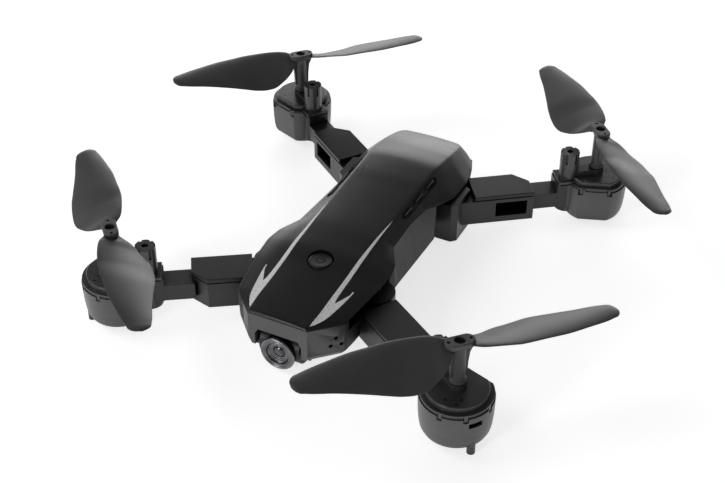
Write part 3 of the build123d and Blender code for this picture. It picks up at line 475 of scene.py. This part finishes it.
# ------------------------------------------------------------------ top shell's outline
# y, half width of the top face, its height at that edge, its crown above that,
# half width at the seam, height of the seam
STATIONS = [
    (-68.0, 11.0, 22.5, 0.4, 11.3, 21.6),
    (-58.3, 12.1, 23.2, 0.6, 21.0, 21.2),
    (-52.0, 12.3, 23.7, 0.7, 21.9, 21.9),
    (-41.6, 12.7, 24.7, 0.8, 23.6, 22.8),
    (-31.2, 12.95, 26.2, 0.8, 24.6, 23.1),
    (-25.0, 13.0, 26.6, 0.8, 23.3, 23.6),
    (-17.5, 13.1, 27.0, 0.8, 18.8, 24.6),
    (-2.6, 13.3, 27.3, 0.8, 18.1, 24.3),
    (10.4, 13.7, 27.7, 0.8, 18.5, 22.9),
    (19.0, 13.9, 28.0, 0.8, 20.6, 20.2),
    (28.0, 14.1, 28.08, 0.8, 22.6, 18.0),
    (40.0, 14.2, 26.8, 0.8, 22.8, 17.8),
    (50.0, 13.6, 24.7, 0.7, 20.6, 17.6),
    (56.5, 12.6, 22.85, 0.5, 18.0, 17.4),
    (58.4, 10.0, 22.2, 0.4, 13.0, 17.3),
]
station_y, *station_columns = zip(*STATIONS)
NOSE_Y, TAIL_Y = station_y[0], station_y[-1]
top_half, top_z, crown = [monotone(station_y, column) for column in station_columns[:3]]
seam_half = softened(straight(station_y, station_columns[3]), 1.1, NOSE_Y, TAIL_Y)
seam_z = softened(straight(station_y, station_columns[4]), 1.6, NOSE_Y, TAIL_Y)


def toward(start, end, distance):
    length = math.hypot(end[0] - start[0], end[1] - start[1])
    return tuple(a + (b - a) * distance / length for a, b in zip(start, end))


def bend(start, corner, end, count):
    """Quadratic curve past a corner, without its first point."""
    points = []
    for k in range(1, count + 1):
        t = k / count
        points.append(tuple((1 - t) ** 2 * a + 2 * t * (1 - t) * b + t * t * c
                            for a, b, c in zip(start, corner, end)))
    return points


def top_section(y):
    """Outer (x, z) outline from the middle to the seam on the +X side."""
    half, rise = top_half(y), crown(y)
    corner = (half, top_z(y))
    seam = (seam_half(y), seam_z(y))
    run, fall = seam[0] - corner[0], seam[1] - corner[1]
    length = math.hypot(run, fall)
    corner_round = min(0.95, 0.45 * run)
    points = []
    for k in range(10):
        x = (half - corner_round) * k / 9
        points.append((x, corner[1] + rise * (1 - (x / half) ** 2)))
    head = toward(corner, seam, corner_round)
    points += bend(points[-1], corner, head, 6)
    foot = toward(seam, corner, min(0.55, 0.3 * length))
    for k in range(1, 8):  # the slope, slightly bulged outwards
        t = k / 7
        bulge = 0.22 * math.sin(math.pi * t) * min(1, (length - corner_round) / 5)
        points.append((head[0] + (foot[0] - head[0]) * t - fall / length * bulge,
                       head[1] + (foot[1] - head[1]) * t + run / length * bulge))
    points += bend(foot, (seam[0] + 0.03, seam[1] + 0.06), (seam[0] - 0.28, seam[1] + 0.02), 3)
    return points


def skin_height(x, y):
    """Height of the rounded outline, found on the section's own points."""
    points = top_section(y)
    across = abs(x)
    for (x0, z0), (x1, z1) in zip(points[:-1], points[1:]):
        if x0 <= across <= x1:
            return z0 + (z1 - z0) * ((across - x0) / max(x1 - x0, 1e-9))
    return points[-1][1]


# ------------------------------------------------------------------ top shell
SEAM_LIFT = 0.02  # the rim stays this far above the seam
SIDE_WALL, TOP_WALL = 1.3, 1.15
INNER_FRONT_Y, INNER_BACK_Y = -66.7, 57.0
# y, drop of the skin that rounds the end
NOSE_ROUND = [(-68.0, 1.1), (-67.97, 0.6), (-67.85, 0.32), (-67.6, 0.13), (-67.25, 0.03),
              (-66.8, 0.0)]
TAIL_ROUND = [(57.75, 0.06), (58.1, 0.3), (58.3, 0.75), (58.4, 1.5)]

# Three louvred windows in each slope, placed on the +X side and mirrored
LOUVRE_X, LOUVRE_Z = 14.9, 25.2
LOUVRE_YS = (2.0, 11.5, 21.0)
SLOPE_OUT = Vector((1, 0, 0.55)).normalized()
SLOPE_DOWN = Vector((0.55, 0, -1)).normalized()

BUTTON_Y = -37.0
button_low, button_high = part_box("power_button")
BUTTON_R = (button_high.x - button_low.x) / 2 / MILLI
BUTTON_HOLE_R = BUTTON_R + (0.45 if BUTTON_R > 4.2 else 0.2)


def shell_wall(outer, inner):
    """Closed shell: the outer rows, the matching inner rows, and the rim between them."""
    n, m = len(outer), len(outer[0])
    verts = [point for row in outer + inner for point in row]
    shift = n * m
    faces = []
    for i in range(n - 1):
        for j in range(m - 1):
            a = i * m + j
            b = shift + a
            faces.append((a, a + 1, a + m + 1, a + m))
            faces.append((b, b + m, b + m + 1, b + 1))
    rim = list(range(m))
    rim += [i * m + m - 1 for i in range(1, n)]
    rim += [(n - 1) * m + j for j in range(m - 2, -1, -1)]
    rim += [i * m for i in range(n - 2, 0, -1)]
    for a, b in zip(rim, rim[1:] + rim[:1]):
        faces.append((a, shift + a, shift + b, b))
    return verts, faces


def mirrored_row(points, y):
    """Full row across the body from the outline of its +X half."""
    return [(-x, y, z) for x, z in reversed(points[1:])] + [(x, y, z) for x, z in points]


def closed_ends(rows):
    """The rows with both ends carried down to the seam."""
    nose, tail = [[(x, y, seam_z(y) + SEAM_LIFT) for x, y, _ in rows[k]] for k in (0, -1)]
    return [nose] + rows + [tail]


def louvre_channel(side):
    """Shallow channel along one slope that holds all three windows."""
    rows = []
    for k in range(19):
        y = -2.6 + 28.4 * k / 18
        end = min(1.0, min(k, 18 - k) / 1.5 + 0.35)
        xs = [15.1 + (-1.05 + 2.2 * j / 5) * end for j in range(6)]
        row = [(side * x, y, skin_height(x, y) - 0.62) for x in xs]
        row += [(side * (x + 1.0), y, skin_height(x, y) + 1.6) for x in reversed(xs)]
        rows.append(row)
    return add_mesh("cutter", *grid(rows, cap=True))


def louvre_window(side, window_y):
    centre = Vector((LOUVRE_X, window_y, LOUVRE_Z))
    ends = []
    for along in (-2.6, 2.6):
        outline = []
        for down, out in ((-1.1, 2.1), (0.17, 2.1), (0.17, -2.8), (-1.1, -2.8)):
            lean = Vector((0, 1, 0)) * (along + 0.35 * down)
            point = centre + lean + SLOPE_DOWN * down + SLOPE_OUT * out
            outline.append((side * point.x, point.y, point.z))
        ends.append(outline)
    return bridge("cutter", *ends)


def build_top_shell():
    stations = NOSE_ROUND + [(-66.3 + k * (57.3 + 66.3) / 120, 0.0) for k in range(121)]
    stations += TAIL_ROUND
    outer, inner = [], []
    for i, (y, drop) in enumerate(stations):
        rim_z = seam_z(y) + SEAM_LIFT
        half = [(x, max(min(z, rim_z), z - drop)) for x, z in top_section(y)]
        outer.append(mirrored_row(half, y))
        inner_y = min(max(y, INNER_FRONT_Y), INNER_BACK_Y)
        narrow = (seam_half(y) - SIDE_WALL) / seam_half(y)
        inside = [(x * narrow,
                   max(min(z, rim_z), skin_height(x * narrow, inner_y) - TOP_WALL))
                  for x, z in half]
        # a hair's shift keeps rows held at the same y apart
        inner.append(mirrored_row(inside, inner_y + (i - 60) * 1e-5))
    walls = shell_wall(closed_ends(outer), closed_ends(inner))
    shell = add_mesh("top_shell_skin", *walls, sharp=0)
    tools = [cylinder("button_well", BUTTON_Y, BUTTON_HOLE_R, 20, 32, segments=72)]
    for side in (1, -1):
        tools.append(louvre_channel(side))
        tools += [louvre_window(side, window_y) for window_y in LOUVRE_YS]
    boolean(shell, tools, sharp=28)
    shell.name = "top_shell_visual"
    return shell


def louvre_lips():
    """The raised lower lip of each louvred window."""
    reach = 2.75
    lips = []
    for side in (1, -1):
        for window_y in LOUVRE_YS:
            rows = []
            for k in range(13):
                along = -reach + 2 * reach * k / 12
                y = window_y + along
                swell = 1 - abs(along / reach) ** 4
                # (distance down the slope, height off the skin) round the lip
                profile = ((0.15, -0.9), (0.2, 0.12 + 0.22 * swell),
                           (0.55, 0.16 + 0.2 * swell), (1.45, 0.03), (1.6, -0.5))
                row = []
                for down, out in profile:
                    x = LOUVRE_X + SLOPE_DOWN.x * down * 0.9
                    z = skin_height(x, y)
                    row.append((side * (x + SLOPE_OUT.x * out), y, z + SLOPE_OUT.z * out))
                rows.append(row)
            lips.append(grid(rows, cap=True))
    return add_mesh("louvre_lips", *joined(lips), sharp=40)


piece(build_top_shell(), "shell", "airframe", "top_shell")
# the lips take the lighter lip material, a painted highlight on the shell plastic
piece(louvre_lips(), "shell", "airframe", material=MATERIALS["lip"])


# ------------------------------------------------------------------ power button
def power_button():
    """A disc with a rounded rim and a shallow dish, on a stem."""
    # distance in from the edge, height
    rim = [(0.0, 24.1), (0.0, 25.72), (0.1, 25.93), (0.32, 26.04), (0.6, 26.05),
           (0.95, 26.03), (1.4, 26.0), (2.4, 25.96)]
    profile = [(0.0, 24.1)] + [(BUTTON_R - inset, z) for inset, z in rim] + [(0.0, 25.95)]
    center = (0, BUTTON_Y, 0)
    disc = revolve("power_button_visual", profile, 96, center=center, sharp=40)
    stem = revolve("stem", [(0.0, 21.15), (1.4, 21.15), (1.4, 24.5), (0.0, 24.5)], 32,
                   center=center)
    boolean(disc, [stem], "UNION", sharp=40)
    return disc


def square_tube(sections):
    """Solid through sections of four points: low and high on one side, then the other."""
    faces = []
    for k in range(0, 4 * (len(sections) - 1), 4):
        faces += [(k + 1, k + 5, k + 7, k + 3), (k, k + 2, k + 6, k + 4),
                  (k, k + 4, k + 5, k + 1), (k + 2, k + 3, k + 7, k + 6)]
    end = 4 * (len(sections) - 1)
    faces += [(0, 1, 3, 2), (end, end + 2, end + 3, end + 1)]
    return [point for section in sections for point in section], faces


def power_mark():
    """Printed power mark: an open ring and an upright bar in its gap."""
    heights = (25.9, 25.985)
    ring = []
    for k in range(41):
        angle = math.radians(124 + 292 * k / 40)
        ring.append([(r * math.cos(angle), BUTTON_Y + r * math.sin(angle), z)
                     for r in (1.25, 1.6) for z in heights])
    bar = [[(x, BUTTON_Y + y, z) for y in (0.35, 1.9) for z in heights]
           for x in (-0.17, 0.17)]
    return add_mesh("power_mark", *joined([square_tube(ring), square_tube(bar)]))


piece(power_button(), "button", "button", "power_button")
piece(power_mark(), "button", "button", material=MATERIALS["mark"])

# ------------------------------------------------------------------ silver flashes
# Edges of the printed flash: y, distance out from the top face's edge
FLASH_OUTER = [
    (-66.2, 0.15), (-64.8, 0.95), (-63.0, 1.75), (-61.0, 2.45), (-58.6, 2.95), (-56.2, 3.35),
    (-54.0, 3.68), (-51.8, 4.02), (-49.0, 4.35), (-47.0, 4.52), (-45.2, 4.62),
]
FLASH_NOTCH = [
    (-53.0, 1.55), (-51.8, 2.1), (-50.3, 2.75), (-48.6, 3.45), (-46.8, 4.1),
]
FLASH_LONG = [
    FLASH_NOTCH[0], (-51.0, 1.15), (-48.1, 0.92), (-44.0, 0.76), (-40.0, 0.68),
    (-35.8, 0.6), (-31.0, 0.5), (-26.8, 0.38), (-21.0, 0.24), (-16.7, 0.12), (-11.0, 0.0),
    (-8.6, -0.06), (-6.4, -0.12),
]
FLASH_INNER = [
    FLASH_OUTER[0], (-64.0, -0.14), (-61.0, -0.32), (-57.0, -0.5), (-53.0, -0.65),
    (-48.1, -0.76), (-44.0, -0.83), (-40.0, -0.88), (-35.8, -0.9), (-31.0, -0.88),
    (-26.8, -0.82), (-21.0, -0.72), (-16.7, -0.6), (-11.0, -0.4), (-8.6, -0.28),
    (-6.4, -0.16),
]
FLASH_LIFT = 0.035  # above the skin


def flash_strip(side, span, low_edge, high_edge, along, across):
    """Sheet on the skin between two edges, in rows across the body."""
    reach = 0.05  # sampling distance for the skin's slope
    rows = []
    for i in range(along + 1):
        y = span[0] + (span[1] - span[0]) * i / along
        low, high = low_edge(y), high_edge(y)
        row = []
        for j in range(across + 1):
            x = top_half(y) + low + (high - low) * j / across
            z = skin_height(x, y)
            slope_x = (skin_height(x + reach, y) - skin_height(x - reach, y)) / (2 * reach)
            ahead, behind = min(y + reach, 58), max(y - reach, -68)
            slope_y = (skin_height(x, ahead) - skin_height(x, behind)) / (2 * reach)
            lift = Vector((-slope_x, -slope_y, 1)).normalized() * FLASH_LIFT
            row.append((side * (x + lift.x), y + lift.y, z + lift.z))
        rows.append(row)
    return grid(rows, closed=False)


def silver_flash(name, side):
    """Thin foil along one edge of the top face: a broad front, a barb and a long tail."""
    outer, notch, long_edge, inner = [
        straight(*zip(*edge)) for edge in (FLASH_OUTER, FLASH_NOTCH, FLASH_LONG, FLASH_INNER)]
    fork_y = FLASH_NOTCH[0][0]
    foil = add_mesh(name, *joined([
        flash_strip(side, (FLASH_OUTER[0][0], fork_y), inner, outer, along=30, across=12),
        flash_strip(side, (fork_y, -45.25), notch, outer, along=16, across=6),
        flash_strip(side, (fork_y, FLASH_LONG[-1][0]), inner, long_edge, along=90, across=6),
    ]), sharp=0)
    work = bmesh.new()
    work.from_mesh(foil.data)
    bmesh.ops.remove_doubles(work, verts=work.verts, dist=2e-6)
    if sum(face.normal.z for face in work.faces) < 0:
        bmesh.ops.reverse_faces(work, faces=work.faces)
    work.to_mesh(foil.data)
    work.free()
    solidify = foil.modifiers.new("foil", "SOLIDIFY")
    solidify.thickness = 0.00006
    solidify.offset = -1
    apply_modifiers(foil)
    shade(foil.data, 40)
    return foil


def flash_material():
    material, tree, bsdf = new_material("silver_flake_print")
    place = coords(tree)
    flakes = add_node(tree, "TexVoronoi", {"Scale": 5200, "Vector": place})
    fleck = ramp(tree, noise(tree, place, scale=2300, detail=3, rough=0.7), span=(0.38, 0.62))
    gloss = noise(tree, place, scale=2600, detail=2)
    wire(tree, bsdf, {
        "Base Color": mix_color(tree, fleck, (0.66, 0.665, 0.67), (1.0, 1.0, 1.0)),
        "Roughness": ramp(tree, gloss, span=(0.3, 0.7), to=(0.3, 0.55)),
    })
    add_bump(tree, bsdf, flakes.outputs["Distance"], strength=0.5, distance=0.00003)
    return material


flash_print = flash_material()
for flash_name, flash_side in (("silver_flash_left", 1), ("silver_flash_right", -1)):
    piece(silver_flash(flash_name, flash_side), "shell", "airframe", material=flash_print)

# ------------------------------------------------------------------ propellers
# radius, leading edge, trailing edge (both across the blade), height of the leading edge,
# height of the trailing edge, thickness
BLADE = [
    (3.0, -2.6, 2.6, 37.9, 36.4, 1.6),
    (6.0, -4.8, 6.0, 38.4, 34.2, 1.4),
    (10.5, -6.1, 8.4, 38.6, 31.9, 1.3),
    (15.0, -6.9, 10.3, 38.45, 30.9, 1.2),
    (18.0, -7.3, 10.6, 38.3, 30.9, 1.15),
    (22.0, -7.4, 10.4, 38.3, 31.4, 1.1),
    (27.0, -7.2, 9.7, 38.1, 32.6, 1.05),
    (32.0, -7.1, 8.4, 37.9, 33.5, 1.0),
    (42.0, -5.8, 5.9, 37.4, 34.9, 0.9),
    (50.0, -4.3, 4.3, 36.9, 35.8, 0.8),
    (53.0, -2.8, 2.9, 36.8, 36.1, 0.7),
    (54.2, -1.2, 1.2, 36.7, 36.3, 0.6),
]
blade_radii, *blade_columns = zip(*BLADE)
lead_at, trail_at, lead_z_at, trail_z_at, thickness_at = [
    monotone(blade_radii, column) for column in blade_columns]
BLADE_ROOT, BLADE_MID, TIP_START = 2.6, 10, 51  # radii where the section spacing changes

# name, hub x, hub y, turn of the blades in degrees
PROPELLERS = (
    ("front_left", HUB_X, -HUB_Y, 45.7),
    ("front_right", -HUB_X, -HUB_Y, -44.7),
    ("rear_left", HUB_X, HUB_Y, -47.2),
    ("rear_right", -HUB_X, HUB_Y, 47.0),
)


def blade_section(radius):
    """Closed (across, height) outline of the blade at a radius."""
    lead, trail, thickness = lead_at(radius), trail_at(radius), thickness_at(radius)
    lead_z, trail_z = lead_z_at(radius), trail_z_at(radius)
    if radius > TIP_START:  # elliptical tip
        shrink = math.sqrt(max(0.0, 1 - ((radius - TIP_START) / 3.25) ** 2))
        lead_start, trail_start = lead_at(TIP_START), trail_at(TIP_START)
        middle = lead_start * 0.55 + trail_start * 0.45
        lead = middle + (lead_start - middle) * shrink
        trail = middle + (trail_start - middle) * shrink
        thickness = thickness * (0.45 + 0.55 * shrink)
    count = 15
    upper, lower = [], []
    camber = 0.055 * (trail - lead) * (1 if radius > 6 else max(0.0, (radius - 3) / 3))
    for k in range(count + 1):
        s = 0.5 - 0.5 * math.cos(math.pi * k / count)
        # an aerofoil blended with a blunt-ended slab
        foil = 2.97 * (0.2969 * math.sqrt(s) - 0.126 * s - 0.3516 * s * s
                       + 0.2843 * s ** 3 - 0.1015 * s ** 4)
        slab = math.sqrt(max(0.0, 1 - (2 * s - 1) ** 6))
        depth = thickness * (0.62 * foil + 0.26 * slab)
        # the height falls along a slightly curved chord
        z = lead_z + (trail_z - lead_z) * (s ** 1.12) + camber * 4 * s * (1 - s)
        across = lead + (trail - lead) * s
        upper.append((across, z + depth / 2))
        lower.append((across, z - depth / 2))
    return upper + list(reversed(lower[1:-1]))


def stadium(length, width):
    """Round-ended outline, long in x."""
    radius = width / 2
    reach = length / 2 - radius
    points = []
    for sign in (1, -1):
        for k in range(15):
            angle = -sign * math.pi / 2 + math.pi * k / 14
            # the first half turns about +reach, the second about -reach
            points.append((sign * reach + radius * math.cos(angle), radius * math.sin(angle)))
    return points


def hub_bore(radius, z0, z1, segments, x=0):
    profile = [(0.0, z0), (radius, z0), (radius, z1), (0.0, z1)]
    return revolve("cutter", profile, segments, center=(x, 0, 0))


def build_propeller():
    """Two blades, a hub plate, and the ribbed sleeve it stands on, about the Z axis."""
    radii = [BLADE_ROOT + (BLADE_MID - BLADE_ROOT) * k / 12 for k in range(13)]
    radii += [BLADE_MID + (TIP_START - BLADE_MID) * k / 34 for k in range(1, 35)]
    radii += [TIP_START + 3.2 * math.sin(math.pi / 2 * k / 8) for k in range(1, 9)]
    blades = []
    for turn in (1, -1):
        rows = [[(turn * r, turn * across, z) for across, z in blade_section(r)]
                for r in radii]
        blades.append(add_mesh("blade", *grid(rows, cap=True)))

    # height, width factor: a plate with a rounded top edge
    levels = [(36.9, 0.92), (37.3, 1.0), (38.55, 1.0), (38.85, 0.965), (39.0, 0.9)]
    rows = [[(x * (1 - (1 - k) * 0.6), y * k, z) for x, y in stadium(10.2, 5.2)]
            for z, k in levels]
    hub = add_mesh("hub", *grid(rows, cap=True))
    sleeve = revolve("sleeve", [
        (0.0, 22.2), (2.5, 22.2), (2.8, 22.45), (2.8, 23.3), (2.55, 23.6), (2.3, 23.8),
        (2.25, 24.6), (2.25, 36.6), (2.6, 37.4), (0.0, 37.4)], 40)

    # flat ribs that stiffen the sleeve under the blades
    flank = [(0, 24.2), (2.75, 25.2), (2.95, 30.0), (3.4, 34.0), (4.9, 37.2), (0, 37.2)]
    ribs = [bridge("rib", *[[(turn * x, y, z) for x, z in flank] for y in (-0.75, 0.75)])
            for turn in (1, -1)]
    boolean(hub, blades + [sleeve] + ribs, "UNION")

    countersink = [(0.0, 37.3), (1.7, 37.3), (1.7, 38.7), (1.95, 39.2), (0.0, 39.2)]
    boolean(hub, [
        revolve("cutter", countersink, 40),
        hub_bore(0.78, 20.0, 33.0, 24),
        hub_bore(0.56, 33.0, 37.5, 20),
        hub_bore(0.55, 38.2, 39.5, 20, x=3.75),
        hub_bore(0.55, 38.2, 39.5, 20, x=-3.75),
    ])
    return hub


master = build_propeller()
for arm, hub_x, hub_y, degrees in PROPELLERS:
    blade_mesh = master.data.copy()
    blade_mesh.transform(Matrix.Translation((hub_x * MILLI, hub_y * MILLI, 0))
                         @ Matrix.Rotation(math.radians(degrees), 4, "Z"))
    shade(blade_mesh)
    piece(link_object(arm + "_propeller_visual", blade_mesh),
          "propeller", arm + "_rotor", arm + "_propeller")
bpy.data.objects.remove(master)

# ------------------------------------------------------------------ nose camera
LENS_CENTRE = (0, -61.6, 7.9)
# Profiles are (radius, distance forward of the centre)
RING = [
    (4.25, 6.22), (6.2, 6.22), (6.5, 6.5), (6.5, 7.05), (6.38, 7.3), (6.1, 7.5), (5.75, 7.62),
    (5.45, 7.55), (5.25, 7.2), (5.05, 7.1), (4.85, 7.15), (4.6, 7.45), (4.4, 7.4),
    (4.25, 7.1), (4.25, 6.22),
]
# stepped barrel around the small objective
BARREL = [
    (0.0, 2.5), (4.0, 2.5), (4.0, 6.9), (3.85, 7.0), (3.55, 6.55), (3.3, 6.5), (3.2, 6.2),
    (2.85, 6.1), (2.75, 5.85), (2.45, 5.75), (2.3, 5.9), (2.2, 5.2), (0.0, 5.1),
]
GLASS = [
    (0.0, 6.55), (0.5, 6.53), (1.0, 6.44), (1.5, 6.27), (1.9, 6.05), (2.15, 5.82),
    (2.15, 5.25), (0.0, 5.25),
]


def lens_part(name, profile, segments, sharp):
    return revolve(name, profile, segments, center=LENS_CENTRE, forward=True, sharp=sharp)


barrel_metal = metal("lens_barrel", (0.2, 0.2, 0.215), rough=0.3, stretch=(1, 1, 1), scale=1500)
piece(lens_part("camera_ring_visual", RING, segments=96, sharp=50),
      "lens_ring", "camera", "camera_lens_ring")
piece(lens_part("camera_barrel_visual", BARREL, segments=96, sharp=40),
      "camera_body", "camera", "camera_lens", material=barrel_metal)
piece(lens_part("camera_glass_visual", GLASS, segments=64, sharp=40), "lens_glass", "camera")


# ------------------------------------------------------------------ stage, light, camera
def paper_material():
    """Pale glowing paper, clear from below so that it doesn't hide the underside."""
    material, tree, bsdf = new_material("pale_paper")
    mottle = noise(tree, coords(tree), scale=3.0, detail=2.0)
    wire(tree, bsdf, {
        "Base Color": mix_color(tree, mottle, (0.7, 0.7, 0.7), (0.73, 0.73, 0.73)),
        "Roughness": 0.75,
        "Emission Color": (1, 1, 1),
        "Emission Strength": 0.72,
    })
    output = next(node for node in tree.nodes if node.type == "OUTPUT_MATERIAL")
    below = add_node(tree, "NewGeometry").outputs["Backfacing"]
    clear = add_node(tree, "BsdfTransparent").outputs[0]
    blend = add_node(tree, "MixShader", {0: below, 1: bsdf.outputs[0], 2: clear})
    wire(tree, output, {"Surface": blend.outputs[0]})
    return material


def add_floor():
    """A flat square sheet."""
    mesh = bpy.data.meshes.new("studio_floor")
    work = bmesh.new()
    corners = ((-3, -3, 0), (3, -3, 0), (3, 3, 0), (-3, 3, 0))
    work.faces.new([work.verts.new(corner) for corner in corners])
    work.to_mesh(mesh)
    work.free()
    shade(mesh, sharp=0)
    sheet = link_object("studio_floor", mesh)
    mesh.materials.append(paper_material())


def aim(thing, direction):
    thing.rotation_euler = direction.to_track_quat("-Z", "Y").to_euler()


def area_light(name, location, size, energy, size_y=None):
    """Area light aimed at the drone."""
    light = bpy.data.lights.new(name, "AREA")
    light.energy = energy
    light.size = size
    if size_y:
        light.shape = "RECTANGLE"
        light.size_y = size_y
    lamp = link_object(name, light)
    lamp.location = location
    aim(lamp, Vector((0, 0, 0.02)) - Vector(location))


def add_sky():
    """Studio surround: a broad glow low down behind the drone, dim overhead and in front."""
    world = bpy.data.worlds.new("studio")
    scene.world = world
    world.use_nodes = True
    tree = world.node_tree
    direction = add_node(tree, "TexCoord").outputs["Generated"]
    x, y, z = add_node(tree, "SeparateXYZ", {0: direction}).outputs
    behind = ramp(tree, y, span=(-0.3, 0.9))
    low = ramp(tree, z, span=(0.5, 0.12))
    central = ramp(tree, x, span=(0.62, 0.08), to=(0.12, 1.0))
    glow = maths(tree, "MULTIPLY", maths(tree, "MULTIPLY", behind, central), low)
    strength = ramp(tree, glow, span=(0.0, 0.9), to=(0.12, 1.2))
    wire(tree, tree.nodes["Background"], {0: (1, 1, 1), 1: strength})


def add_camera():
    data = bpy.data.cameras.new("camera")
    data.lens = 64.9
    data.sensor_width = 36
    data.clip_start = 0.01
    camera = link_object("camera", data)
    camera.location = (0.17316, -0.34951, 0.30440)
    # turned from the nose towards +X, and raised
    azimuth, elevation = math.radians(26.66), math.radians(37.14)
    back = Vector((math.sin(azimuth) * math.cos(elevation),
                   -math.cos(azimuth) * math.cos(elevation), math.sin(elevation)))
    aim(camera, -back)
    scene.camera = camera


add_floor()
add_sky()
area_light("key", location=(-0.6, 1.45, 0.42), size=1.6, size_y=0.7, energy=9)
area_light("left", location=(-1.2, -0.5, 1.2), size=0.8, energy=7)
area_light("front_left", location=(-0.5, -1.5, 0.42), size=0.35, size_y=0.5, energy=9)
area_light("front", location=(1.1, -1.1, 0.5), size=0.6, energy=1.2)
add_camera()
scene.view_settings.view_transform = "Standard"
